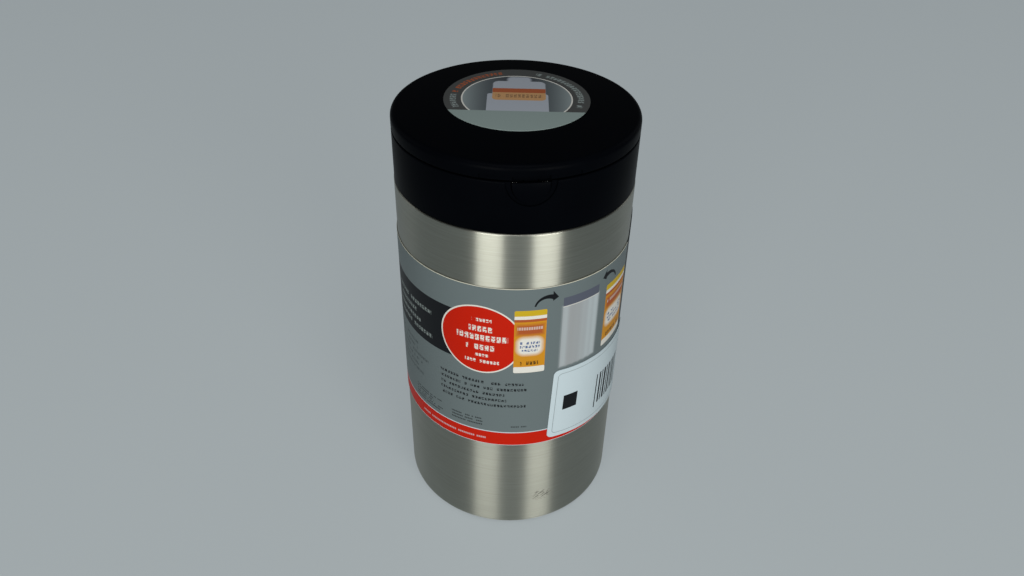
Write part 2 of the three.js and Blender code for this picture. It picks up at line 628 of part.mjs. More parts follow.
/** The white sticker on the wrap, with round corners. */
function barcodeSticker() {
  const innerR = SHEET_OUT_R + SHEET_GAP;
  const width = (STICKER_TO - STICKER_FROM) * innerR;
  const middleSpans = Math.round((RING_SEGMENTS * (STICKER_TO - STICKER_FROM)) / (2 * Math.PI));
  const cornerPlaces = Array.from({ length: CORNER_STEPS + 1 }, (_, i) => (
    STICKER_CORNER_R * (1 - Math.cos((Math.PI * i) / (2 * CORNER_STEPS)))));
  const middlePlaces = Array.from({ length: middleSpans - 1 }, (_, i) => (
    THREE.MathUtils.lerp(STICKER_CORNER_R, width - STICKER_CORNER_R, (i + 1) / middleSpans)));
  const places = [...cornerPlaces, ...middlePlaces, ...cornerPlaces.map((s) => width - s).reverse()];
  const columns = places.map((s) => {
    const drop = cornerDrop(Math.min(s, width - s), STICKER_CORNER_R);
    return { angle: STICKER_FROM + s / innerR, low: STICKER_LOW_Z + drop, high: STICKER_HIGH_Z - drop };
  });
  return wrappedSheet(columns, innerR, innerR + SHEET_T, false);
}

/** The round printed sticker on the lid. */
function lidLabel() {
  const lowZ = LID_TOP_Z + SHEET_GAP / 2;
  const disc = revolve([[0, lowZ], [LID_LABEL_R, lowZ], [LID_LABEL_R, lowZ + SHEET_T], [0, lowZ + SHEET_T]]);
  return disc.translate([LID_LABEL_X, LID_LABEL_Y, 0]);
}

/** A group of named pieces, each a mesh with a material of its own. */
function groupOf(name, pieces) {
  const group = new THREE.Group();
  group.name = name;
  for (const [pieceName, body, finish] of pieces) {
    const mesh = new THREE.Mesh(geometryOf(body), new THREE.MeshStandardMaterial(FINISHES[finish]));
    mesh.name = pieceName;
    group.add(mesh);
  }
  return group;
}

const canister = groupOf('canister', [
  ['steel_body', steelBody(), 'steel'],
  ['base_pad', basePad(), 'blackFoot'],
  ['collar', collar(), 'blackPlastic'],
  ['latch_cover', latchCover(), 'blackPlastic'],
  ['latch_screw_left', latchScrew(-1), 'springWire'],
  ['latch_screw_right', latchScrew(1), 'springWire'],
  ['button_spring_left', buttonSpring(-1), 'springWire'],
  ['button_spring_right', buttonSpring(1), 'springWire'],
  ['hinge_pin', hingePin(), 'springWire'],
  ['hinge_spring_left', hingeSpring(-1), 'springWire'],
  ['hinge_spring_right', hingeSpring(1), 'springWire'],
  ['wrap_label', wrapLabel(), 'label'],
  ['barcode_sticker', barcodeSticker(), 'sticker'],
]);
const lid = groupOf('lid', [
  ['lid_shell', lidShell(), 'blackPlastic'],
  ['lid_inner_panel', lidInnerPanel(), 'blackPlastic'],
  ['lid_label', lidLabel(), 'lidLabel'],
]);
const button = groupOf('button', [['push_button', pushButton(), 'blackPlastic']]);

const wipesCanister = new THREE.Group();
wipesCanister.add(canister, lid, button);
export default wipesCanister;
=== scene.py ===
"""Looks of a tall steel canister for wipes, with a black collar, a push button and a flip lid.

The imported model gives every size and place. This script dresses it: the brushed can, the moulded collar and
lid, the latch and hinge springs, and the printed wrap, sticker and lid label. Lengths are millimetres until
a mesh is made, and metres from there on.
"""

from __future__ import annotations

import json
import logging
import math
from collections.abc import Callable, Iterable, Sequence
from dataclasses import dataclass
from enum import Enum

import bmesh
import bpy
from mathutils import Matrix, Vector

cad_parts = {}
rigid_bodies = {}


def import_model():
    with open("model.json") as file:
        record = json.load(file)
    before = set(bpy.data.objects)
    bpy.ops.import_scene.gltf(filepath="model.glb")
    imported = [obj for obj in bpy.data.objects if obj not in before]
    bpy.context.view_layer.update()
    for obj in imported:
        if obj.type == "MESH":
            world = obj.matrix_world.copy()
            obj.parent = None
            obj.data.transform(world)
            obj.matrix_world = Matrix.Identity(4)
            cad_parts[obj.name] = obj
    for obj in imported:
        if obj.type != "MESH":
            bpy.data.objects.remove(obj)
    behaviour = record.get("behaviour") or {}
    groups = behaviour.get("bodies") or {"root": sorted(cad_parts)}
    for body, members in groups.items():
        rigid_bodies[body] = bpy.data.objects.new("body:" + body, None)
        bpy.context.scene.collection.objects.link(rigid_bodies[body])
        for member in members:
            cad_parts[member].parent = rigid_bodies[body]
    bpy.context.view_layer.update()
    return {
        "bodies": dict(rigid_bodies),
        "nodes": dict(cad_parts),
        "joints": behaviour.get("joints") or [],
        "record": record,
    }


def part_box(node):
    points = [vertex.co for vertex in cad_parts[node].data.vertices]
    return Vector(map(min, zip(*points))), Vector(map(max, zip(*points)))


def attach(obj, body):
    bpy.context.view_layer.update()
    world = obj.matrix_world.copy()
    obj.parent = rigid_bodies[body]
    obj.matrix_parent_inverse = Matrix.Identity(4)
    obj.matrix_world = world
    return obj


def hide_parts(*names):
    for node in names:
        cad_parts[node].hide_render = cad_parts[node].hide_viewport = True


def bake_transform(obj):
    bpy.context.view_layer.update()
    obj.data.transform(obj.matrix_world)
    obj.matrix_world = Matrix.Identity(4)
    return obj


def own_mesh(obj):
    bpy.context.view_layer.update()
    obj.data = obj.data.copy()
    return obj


LOG = logging.getLogger("canister")

MM = 0.001
RING_STEPS = 240
ARC_STEPS = 8
SMOOTH_ANGLE = math.radians(32)

# Sockets of the mix node when it mixes colours
MIX_FACTOR, MIX_FIRST, MIX_SECOND, MIX_RESULT = 0, 6, 7, 2

Corner = tuple[float, ...]
Colour = tuple[float, float, float]
Value = "bpy.types.NodeSocket | float | Sequence[float]"
Sockets = dict[str, bpy.types.NodeSocket]


class Body(str, Enum):
    """The three rigid bodies of the canister."""

    CANISTER = "canister"
    LID = "lid"
    BUTTON = "button"


class Join(str, Enum):
    """How one solid is combined with another."""

    ADD = "UNION"
    CUT = "DIFFERENCE"
    KEEP = "INTERSECT"


class Direction(Enum):
    """The way a flat outline is extruded: its two drawing axes and its extrusion axis, as unit vectors."""

    UP = ((1, 0, 0), (0, 1, 0), (0, 0, 1))
    FORWARD = ((1, 0, 0), (0, 0, 1), (0, -1, 0))
    ACROSS = ((0, 1, 0), (0, 0, 1), (1, 0, 0))


# Mesh tools


def rounded(corners: Sequence[Corner], steps: int = ARC_STEPS) -> list[Vector]:
    """Turns corners with a radius into arcs.

    Args:
        corners: (x, y) or (x, y, radius) corners of a closed outline, in order.
        steps: spans in each arc.

    Returns:
        The outline's points.
    """
    points: list[Vector] = []
    count = len(corners)
    for i, (x, y, *rest) in enumerate(corners):
        radius = rest[0] if rest else 0.0
        corner = Vector((x, y))
        if radius <= 0:
            points.append(corner)
            continue
        before = (Vector(corners[i - 1][:2]) - corner).normalized()
        after = (Vector(corners[(i + 1) % count][:2]) - corner).normalized()
        half = before.angle(after) / 2
        centre = corner + (before + after).normalized() * radius / math.sin(half)
        start = corner + before * radius / math.tan(half) - centre
        end = corner + after * radius / math.tan(half) - centre
        sweep = math.atan2(start.x * end.y - start.y * end.x, start.dot(end))
        for k in range(steps + 1):
            turn = Matrix.Rotation(sweep * k / steps, 2)
            points.append(centre + turn @ start)
    return points


def circle(x: float, y: float, radius: float, steps: int = 48) -> list[Vector]:
    """Points of a circle, anticlockwise."""
    turns = (2 * math.pi * k / steps for k in range(steps))
    return [Vector((x + radius * math.cos(t), y + radius * math.sin(t))) for t in turns]


def rectangle(x0: float, x1: float, y0: float, y1: float, radius: float = 0.0) -> list[Vector]:
    """Points of a rectangle with one radius on its corners."""
    return rounded([(x0, y0, radius), (x1, y0, radius), (x1, y1, radius), (x0, y1, radius)])


def object_from(name: str, mesh_builder: bmesh.types.BMesh) -> bpy.types.Object:
    """Makes a linked object from a mesh in millimetres.

    Args:
        name: the object's name.
        mesh_builder: the filled mesh, which is freed.

    Returns:
        The object, with its mesh in metres and its faces pointing out.
    """
    bmesh.ops.recalc_face_normals(mesh_builder, faces=mesh_builder.faces)
    mesh = bpy.data.meshes.new(name)
    mesh_builder.to_mesh(mesh)
    mesh_builder.free()
    mesh.transform(Matrix.Scale(MM, 4))
    piece = bpy.data.objects.new(name, mesh)
    bpy.context.scene.collection.objects.link(piece)
    return piece


def lathe(name: str, corners: Sequence[Corner], segments: int = RING_STEPS) -> bpy.types.Object:
    """Revolves a profile about the Z axis.

    Args:
        name: the object's name.
        corners: (radius, height) or (radius, height, rounding) corners, from axis to axis or closed.
        segments: spans round the axis.

    Returns:
        The revolved solid.
    """
    profile = rounded(corners)
    builder = bmesh.new()
    rings: list[list[bmesh.types.BMVert]] = []
    for point in profile:
        count = segments if point.x > MM else 1
        turns = [2 * math.pi * k / segments for k in range(count)]
        rings.append([
            builder.verts.new((point.x * math.sin(t), -point.x * math.cos(t), point.y)) for t in turns
        ])
    if corners[0][0] > 0:
        rings.append(rings[0])
    for low, high in zip(rings, rings[1:]):
        for k in range(segments):
            following = (k + 1) % segments
            loop = [
                low[k % len(low)], low[following % len(low)],
                high[following % len(high)], high[k % len(high)],
            ]
            face = list(dict.fromkeys(loop))
            if len(face) > 2:
                builder.faces.new(face)
    return object_from(name, builder)


def cylinder(name: str, radius: float, low: float, high: float) -> bpy.types.Object:
    """Makes a plain cylinder about the Z axis."""
    return lathe(name, [(0, low), (radius, low), (radius, high), (0, high)])


def extrude(
    name: str, points: Sequence[Vector], direction: Direction, start: float, end: float
) -> bpy.types.Object:
    """Extrudes a flat outline.

    Args:
        name: the object's name.
        points: the outline.
        direction: the plane it is drawn in and the way it is extruded.
        start: where the solid starts along the extrusion axis.
        end: where it ends.

    Returns:
        The extruded solid.
    """
    across, along, out = (Vector(axis) for axis in direction.value)
    builder = bmesh.new()
    ends = []
    for place in (start, end):
        ends.append([builder.verts.new(across * p.x + along * p.y + out * place) for p in points])
    builder.faces.new(ends[0])
    builder.faces.new(ends[1])
    for k in range(len(points)):
        following = (k + 1) % len(points)
        builder.faces.new((ends[0][k], ends[0][following], ends[1][following], ends[1][k]))
    return object_from(name, builder)


def apply_modifiers(piece: bpy.types.Object) -> None:
    """Replaces a piece's mesh by what its modifiers make of it.

    Args:
        piece: the piece, which keeps no modifier.
    """
    evaluated = piece.evaluated_get(bpy.context.evaluated_depsgraph_get())
    mesh = bpy.data.meshes.new_from_object(evaluated)
    piece.modifiers.clear()
    old = piece.data
    piece.data = mesh
    bpy.data.meshes.remove(old)


def combine(target: bpy.types.Object, tool: bpy.types.Object, join: Join) -> None:
    """Joins a tool to a solid, cuts it out or keeps what they share, and deletes the tool.

    Args:
        target: the solid that is changed.
        tool: the solid that changes it.
        join: what the two are made into.
    """
    modifier = target.modifiers.new("combine", "BOOLEAN")
    modifier.operation = join.value
    modifier.solver = "MANIFOLD"
    modifier.object = tool
    apply_modifiers(target)
    bpy.data.objects.remove(tool)


def smooth(piece: bpy.types.Object, bevel: float = 0.0) -> None:
    """Rounds a piece's sharp edges a little and shades its soft ones smooth.

    Args:
        piece: the piece.
        bevel: width of the rounding, in millimetres, or 0 for none.
    """
    if bevel > 0:
        modifier = piece.modifiers.new("edge", "BEVEL")
        modifier.width = bevel * MM
        modifier.segments = 2
        modifier.limit_method = "ANGLE"
        modifier.angle_limit = SMOOTH_ANGLE
        modifier.use_clamp_overlap = True
        apply_modifiers(piece)
    mesh = piece.data
    mesh.polygons.foreach_set("use_smooth", [True] * len(mesh.polygons))
    mesh.set_sharp_from_angle(angle=SMOOTH_ANGLE)


def wire(name: str, points: Sequence[Vector], diameter: float, sides: int = 5) -> bpy.types.Object:
    """Makes a round wire through a row of points.

    Args:
        name: the object's name.
        points: the wire's middle line, in millimetres.
        diameter: the wire's thickness, in millimetres.
        sides: half rounding of its section.

    Returns:
        The wire as a mesh.
    """
    curve = bpy.data.curves.new(name, "CURVE")
    curve.dimensions = "3D"
    curve.bevel_depth = diameter / 2 * MM
    curve.bevel_resolution = sides
    curve.use_fill_caps = True
    spline = curve.splines.new("POLY")
    spline.points.add(len(points) - 1)
    for place, point in zip(spline.points, points):
        place.co = (*(point * MM), 1)
    drawn = bpy.data.objects.new(name, curve)
    bpy.context.scene.collection.objects.link(drawn)
    mesh = bpy.data.meshes.new_from_object(drawn.evaluated_get(bpy.context.evaluated_depsgraph_get()))
    bpy.data.objects.remove(drawn)
    piece = bpy.data.objects.new(name, mesh)
    bpy.context.scene.collection.objects.link(piece)
    return piece


def wrapped_sheet(
    name: str, columns: Sequence[tuple[float, float, float]], inner_r: float, outer_r: float, ring: bool,
    lean: float = 0.0,
) -> bpy.types.Object:
    """Makes a thin sheet wrapped round the can.

    Args:
        name: the object's name.
        columns: (angle from the front, lowest height, highest height) of each column.
        inner_r: the radius of the side that is stuck on.
        outer_r: the radius of the printed side.
        ring: whether the sheet goes all round.
        lean: how far the sheet leans, as an angle round the can for each millimetre up.

    Returns:
        The sheet.
    """
    builder = bmesh.new()
    rows = []
    middle = sum(low + high for _, low, high in columns) / (2 * len(columns))
    for angle, low, high in columns:
        row = []
        for radius, height in ((outer_r, low), (outer_r, high), (inner_r, high), (inner_r, low)):
            turn = angle + lean * (height - middle)
            row.append(builder.verts.new((radius * math.sin(turn), -radius * math.cos(turn), height)))
        rows.append(row)
    pairs = list(zip(rows, rows[1:] + rows[:1])) if ring else list(zip(rows, rows[1:]))
    for here, following in pairs:
        for k in range(4):
            across = (k + 1) % 4
            builder.faces.new((here[k], following[k], following[across], here[across]))
    if not ring:
        builder.faces.new(rows[0])
        builder.faces.new(rows[-1])
    return object_from(name, builder)


def corner_drop(distance: float, radius: float) -> float:
    """How far a round corner has dropped an edge at a distance in from its end."""
    inset = min(max(distance, 0.0), radius)
    return radius - math.sqrt(radius**2 - (radius - inset) ** 2)


# Node tools


class Graph:
    """A node tree with short calls for the nodes that the finishes use."""

    def __init__(self, tree: bpy.types.NodeTree) -> None:
        """Keeps the tree that the calls add to."""
        self.tree = tree

    def put(self, socket: bpy.types.NodeSocket, value: Value) -> None:
        """Links a socket to another, or sets its value.

        Args:
            socket: the input socket.
            value: another node's socket, or a value.
        """
        if isinstance(value, bpy.types.NodeSocket):
            self.tree.links.new(value, socket)
        else:
            socket.default_value = value

    def node(
        self, kind: str, inputs: dict[str | int, Value] | None = None, **settings: object
    ) -> bpy.types.Node:
        """Adds a node.

        Args:
            kind: the node's type name.
            inputs: its input sockets by name or number, each with a value or a socket to link.
            **settings: its own properties.

        Returns:
            The node.
        """
        made = self.tree.nodes.new(kind)
        for key, value in settings.items():
            setattr(made, key, value)
        for key, value in (inputs or {}).items():
            self.put(made.inputs[key], value)
        return made

    def math(self, operation: str, *values: Value, clamp: bool = False) -> bpy.types.NodeSocket:
        """Adds a math node and returns its result."""
        made = self.node("ShaderNodeMath", dict(enumerate(values)), operation=operation, use_clamp=clamp)
        return made.outputs[0]

    def mix(self, factor: Value, first: Value, second: Value) -> bpy.types.NodeSocket:
        """Mixes two colours by a factor and returns the result.

        Args:
            factor: the second colour's share.
            first: the first colour.
            second: the second colour.

        Returns:
            The mixed colour.
        """
        made = self.node("ShaderNodeMix", data_type="RGBA")
        self.put(made.inputs[MIX_FACTOR], factor)
        for number, value in ((MIX_FIRST, first), (MIX_SECOND, second)):
            colour = value if isinstance(value, bpy.types.NodeSocket) else (*value, 1.0)
            self.put(made.inputs[number], colour)
        return made.outputs[MIX_RESULT]

    def above(self, value: Value, level: Value, edge: float) -> bpy.types.NodeSocket:
        """Gives 1 where a value is over a level and 0 where it isn't. The edge is how steeply it turns."""
        return self.math("MULTIPLY", self.math("SUBTRACT", value, level), edge, clamp=True)

    def length(self, x: Value, y: Value) -> bpy.types.NodeSocket:
        """The length of a flat vector."""
        squares = (self.math("POWER", value, 2.0) for value in (x, y))
        return self.math("SQRT", self.math("ADD", *squares))

    def remap(self, value: Value, low: Value, high: Value) -> bpy.types.NodeSocket:
        """Stretches a value from 0..1 to low..high and returns the result."""
        made = self.node("ShaderNodeMapRange", {"Value": value, "To Min": low, "To Max": high})
        return made.outputs[0]

    def noise(self, vector: Value, scale: Value, detail: float = 3.0) -> bpy.types.NodeSocket:
        """Adds a noise texture and returns its grey value."""
        made = self.node("ShaderNodeTexNoise", {"Vector": vector, "Scale": scale, "Detail": detail})
        return made.outputs[0]

    def place(self) -> tuple[bpy.types.NodeSocket, bpy.types.NodeSocket, bpy.types.NodeSocket]:
        """The point's x, y and z on the object, in millimetres.

        Returns:
            The sockets of x, y and z.
        """
        coordinates = self.node("ShaderNodeTexCoord").outputs["Object"]
        scaled = self.node("ShaderNodeVectorMath", {0: coordinates, "Scale": 1 / MM}, operation="SCALE")
        split = self.node("ShaderNodeSeparateXYZ", {0: scaled.outputs[0]})
        return split.outputs[0], split.outputs[1], split.outputs[2]

    def use(self, tree: bpy.types.NodeTree, **inputs: Value) -> bpy.types.Node:
        """Places a shared group. Input names have their spaces written as underscores.

        Args:
            tree: the group.
            **inputs: its inputs, each a value or a socket to link.

        Returns:
            The group's node.
        """
        made = self.node("ShaderNodeGroup", node_tree=tree)
        for key, value in inputs.items():
            self.put(made.inputs[key.replace("_", " ")], value)
        return made


def shared_group(
    name: str, inputs: dict[str, float], outputs: Sequence[str],
    fill: Callable[[Graph, Sockets], Sockets],
) -> bpy.types.NodeTree:
    """Builds a node group once.

    Args:
        name: the group's name.
        inputs: its number inputs with their usual values.
        outputs: the names of its number outputs.
        fill: makes the nodes from the graph and the inputs, and returns the sockets for the outputs.

    Returns:
        The group's node tree.
    """
    tree = bpy.data.node_groups.get(name)
    if tree:
        return tree
    tree = bpy.data.node_groups.new(name, "ShaderNodeTree")
    for key, value in inputs.items():
        socket = tree.interface.new_socket(name=key, in_out="INPUT", socket_type="NodeSocketFloat")
        socket.default_value = value
    for key in outputs:
        tree.interface.new_socket(name=key, in_out="OUTPUT", socket_type="NodeSocketFloat")
    graph = Graph(tree)
    entry = graph.node("NodeGroupInput")
    leave = graph.node("NodeGroupOutput")
    results = fill(graph, {key: entry.outputs[key] for key in inputs})
    for key, socket in results.items():
        graph.put(leave.inputs[key], socket)
    return tree


def brushing() -> bpy.types.NodeTree:
    """Fine lines that run round the can, as a belt leaves them.

    Returns:
        The group's node tree.
    """
    broad_scale, fine_share, middle = 0.23, 0.65, 0.5

    def fill(graph: Graph, given: Sockets) -> Sockets:
        """Mixes fine lines with broad ones and spreads their contrast.

        Args:
            graph: the group's graph.
            given: the group's inputs by name.

        Returns:
            The sockets for the group's outputs, by name.
        """
        x, y, z = graph.place()
        fine = graph.node("ShaderNodeCombineXYZ", {
            0: graph.math("MULTIPLY", x, given["Around"]),
            1: graph.math("MULTIPLY", y, given["Around"]),
            2: graph.math("MULTIPLY", z, given["Along"]),
        }).outputs[0]
        lines = graph.noise(fine, 1.0, 4.0)
        broad = graph.noise(fine, broad_scale, 2.0)
        fine_part = graph.math("MULTIPLY", lines, fine_share)
        both = graph.math("ADD", fine_part, graph.math("MULTIPLY", broad, 1 - fine_share))
        centred = graph.math("SUBTRACT", both, middle)
        contrast = graph.math("MULTIPLY_ADD", centred, given["Contrast"], middle, clamp=True)
        return {"Value": graph.remap(contrast, given["Low"], given["High"]), "Height": contrast}

    inputs = {"Around": 0.06, "Along": 5.0, "Contrast": 2.2, "Low": 0.0, "High": 1.0}
    return shared_group("brushing", inputs, ["Value", "Height"], fill)


def mottle() -> bpy.types.NodeTree:
    """Soft uneven patches, such as handling leaves, and a fine grain.

    Returns:
        The group's node tree.
    """

    def fill(graph: Graph, given: Sockets) -> Sockets:
        """Makes the patches and the grain from one place on the object.

        Args:
            graph: the group's graph.
            given: the group's inputs by name.

        Returns:
            The sockets for the group's outputs, by name.
        """
        coordinates = graph.node("ShaderNodeTexCoord").outputs["Object"]
        patches = graph.noise(coordinates, given["Patch Scale"], 4.0)
        grain = graph.noise(coordinates, given["Grain Scale"], 2.0)
        return {
            "Patches": graph.remap(patches, given["Low"], given["High"]),
            "Grain": grain,
        }

    inputs = {"Patch Scale": 28.0, "Grain Scale": 2600.0, "Low": 0.0, "High": 1.0}
    return shared_group("mottle", inputs, ["Patches", "Grain"], fill)


def round_the_can() -> bpy.types.NodeTree:
    """Place on a wrapped sheet: millimetres round the can from the front, and height.

    Returns:
        The group's node tree.
    """

    def fill(graph: Graph, given: Sockets) -> Sockets:
        """Turns a place on the object into arc and height.

        Args:
            graph: the group's graph.
            given: the group's inputs by name.

        Returns:
            The sockets for the group's outputs, by name.
        """
        x, y, z = graph.place()
        turn = graph.math("ARCTAN2", x, graph.math("MULTIPLY", y, -1.0))
        return {"Arc": graph.math("MULTIPLY", turn, given["Radius"]), "Height": z}

    return shared_group("round_the_can", {"Radius": 61.0}, ["Arc", "Height"], fill)


def on_the_lid() -> bpy.types.NodeTree:
    """Place on the lid label: millimetres from its centre, turned to the label's own upright.

    Returns:
        The group's node tree.
    """

    def fill(graph: Graph, given: Sockets) -> Sockets:
        """Turns a place on the object about the label's centre.

        Args:
            graph: the group's graph.
            given: the group's inputs by name.

        Returns:
            The sockets for the group's outputs, by name.
        """
        x, y, _ = graph.place()
        x = graph.math("SUBTRACT", x, given["Centre X"])
        y = graph.math("SUBTRACT", y, given["Centre Y"])
        cosine = graph.math("COSINE", given["Turn"])
        sine = graph.math("SINE", given["Turn"])
        across = graph.math("SUBTRACT", graph.math("MULTIPLY", x, cosine), graph.math("MULTIPLY", y, sine))
        up = graph.math("ADD", graph.math("MULTIPLY", x, sine), graph.math("MULTIPLY", y, cosine))
        radius = graph.length(x, y)
        return {"Across": across, "Up": up, "Radius": radius, "Turn": graph.math("ARCTAN2", across, up)}

    inputs = {"Centre X": 0.0, "Centre Y": 0.0, "Turn": 0.0}
    return shared_group("on_the_lid", inputs, ["Across", "Up", "Radius", "Turn"], fill)


def field_mask() -> bpy.types.NodeTree:
    """A printed field: 1 inside a rectangle with round corners, 0 outside.

    Returns:
        The group's node tree.
    """

    def fill(graph: Graph, given: Sockets) -> Sockets:
        """Measures the distance to the rectangle's edge and softens it.

        Args:
            graph: the group's graph.
            given: the group's inputs by name.

        Returns:
            The sockets for the group's outputs, by name.
        """
        reach = []
        for place, centre, half in (("X", "Centre X", "Half Width"), ("Y", "Centre Y", "Half Height")):
            offset = graph.math("ABSOLUTE", graph.math("SUBTRACT", given[place], given[centre]))
            reach.append(graph.math("SUBTRACT", offset, graph.math("SUBTRACT", given[half], given["Corner"])))
        outside = [graph.math("POWER", graph.math("MAXIMUM", value, 0.0), 2.0) for value in reach]
        length = graph.math("SQRT", graph.math("ADD", *outside))
        inside = graph.math("MINIMUM", graph.math("MAXIMUM", *reach), 0.0)
        distance = graph.math("SUBTRACT", graph.math("ADD", length, inside), given["Corner"])
        soft = graph.math("DIVIDE", distance, given["Softness"])
        return {"Mask": graph.math("SUBTRACT", 0.5, soft, clamp=True)}

    inputs = {
        "X": 0.0, "Y": 0.0, "Centre X": 0.0, "Centre Y": 0.0, "Half Width": 1.0, "Half Height": 1.0,
        "Corner": 0.0, "Softness": 0.12,
    }
    return shared_group("field_mask", inputs, ["Mask"], fill)


def broken_line() -> bpy.types.NodeTree:
    """Breaks a printed field into rows of short dashes. The rows end unevenly.

    Returns:
        The group's node tree.
    """
    edge, row_seed, middle_share = 9.0, 3.7, 0.5

    def fill(graph: Graph, given: Sockets) -> Sockets:
        """Lays out rows, cuts them into dashes and leaves some out.

        Args:
            graph: the group's graph.
            given: the group's inputs by name.

        Returns:
            The sockets for the group's outputs, by name.
        """

        def random_at(first: Value, second: Value) -> bpy.types.NodeSocket:
            """A random value from 0 to 1 that two numbers settle.

            Args:
                first: the first number.
                second: the second one.

            Returns:
                The random value.
            """
            spot = graph.node("ShaderNodeCombineXYZ", {0: first, 1: second}).outputs[0]
            noise = graph.node("ShaderNodeTexWhiteNoise", {"Vector": spot}, noise_dimensions="2D")
            return noise.outputs["Value"]

        up = graph.math("DIVIDE", graph.math("SUBTRACT", given["Y"], given["Base"]), given["Pitch"])
        middle = graph.math("ABSOLUTE", graph.math("SUBTRACT", graph.math("FRACT", up), middle_share))
        row = graph.above(given["Cover"], middle, edge)
        seed = graph.math("MULTIPLY_ADD", graph.math("FLOOR", up), row_seed, given["Row"])
        along = graph.math("ADD", graph.math("DIVIDE", given["X"], given["Dash"]), seed)
        middle = graph.math("ABSOLUTE", graph.math("SUBTRACT", graph.math("FRACT", along), middle_share))
        stroke = graph.above(given["Fill"], middle, edge)
        kept = graph.math("LESS_THAN", random_at(graph.math("FLOOR", along), seed), given["Kept"])
        short = graph.math("MULTIPLY", random_at(seed, 0.5), given["Ragged"])
        whole = graph.math("LESS_THAN", given["X"], graph.math("SUBTRACT", given["End"], short))
        drawn = graph.math("MULTIPLY", stroke, row)
        return {"Mask": graph.math("MULTIPLY", drawn, graph.math("MULTIPLY", kept, whole))}

    inputs = {
        "X": 0.0, "Y": 0.0, "Row": 0.0, "Base": 0.0, "Pitch": 1000.0, "Cover": 1.0, "End": 1000.0,
        "Ragged": 0.0, "Dash": 2.2, "Fill": 0.42, "Kept": 0.88,
    }
    return shared_group("broken_line", inputs, ["Mask"], fill)


def arrow_mask() -> bpy.types.NodeTree:
    """A printed arrow: a quarter of a ring that rises to the right and ends in a point.

    Returns:
        The group's node tree.
    """
    edge, thin, thickening, foot, overlap, fall = 6.0, 0.5, 0.11, 1.2, 0.3, -0.35

    def fill(graph: Graph, given: Sockets) -> Sockets:
        """Draws the ring, which thickens on its way, and the point on its end.

        Args:
            graph: the group's graph.
            given: the group's inputs by name.

        Returns:
            The sockets for the group's outputs, by name.
        """
        u = graph.math("MULTIPLY", graph.math("SUBTRACT", given["X"], given["Centre X"]), given["Side"])
        v = graph.math("SUBTRACT", given["Y"], given["Centre Y"])
        radius, neck, head = given["Radius"], given["Neck"], given["Head"]
        off = graph.math("ABSOLUTE", graph.math("SUBTRACT", graph.length(u, v), radius))
        thick = graph.math("MULTIPLY_ADD", graph.math("ADD", u, radius), thickening, thin)
        ring = graph.above(thick, off, edge)
        ring = graph.math("MULTIPLY", ring, graph.math("GREATER_THAN", v, foot))
        ring = graph.math("MULTIPLY", ring, graph.math("LESS_THAN", u, graph.math("ADD", neck, overlap)))
        tip = graph.math("SUBTRACT", 1.0, graph.math("DIVIDE", graph.math("SUBTRACT", u, neck), head))
        slope = graph.math("MULTIPLY", graph.math("SUBTRACT", u, neck), fall)
        aside = graph.math("ABSOLUTE", graph.math("SUBTRACT", graph.math("SUBTRACT", v, radius), slope))
        point = graph.above(graph.math("MULTIPLY", tip, head), aside, edge)
        point = graph.math("MULTIPLY", point, graph.math("GREATER_THAN", u, neck))
        return {"Mask": graph.math("MAXIMUM", ring, point)}

    inputs = {
        "X": 0.0, "Y": 0.0, "Centre X": 0.0, "Centre Y": 0.0, "Side": 1.0,
        "Radius": 6.4, "Neck": 2.4, "Head": 3.1,
    }
    return shared_group("arrow_mask", inputs, ["Mask"], fill)


# Finishes


def new_material(name: str) -> tuple[bpy.types.Material, Graph, bpy.types.Node]:
    """Makes an empty node material.

    Args:
        name: the material's name.

    Returns:
        The material, its graph and its main shader node.
    """
    material = bpy.data.materials.new(name)
    material.use_nodes = True
    graph = Graph(material.node_tree)
    shader = material.node_tree.nodes["Principled BSDF"]
    return material, graph, shader


def add_bump(graph: Graph, shader: bpy.types.Node, height: Value, strength: float, distance: float) -> None:
    """Lets a height move the surface's normal. The distance is in millimetres."""
    bump = graph.node("ShaderNodeBump", {"Height": height, "Strength": strength, "Distance": distance * MM})
    graph.put(shader.inputs["Normal"], bump.outputs[0])


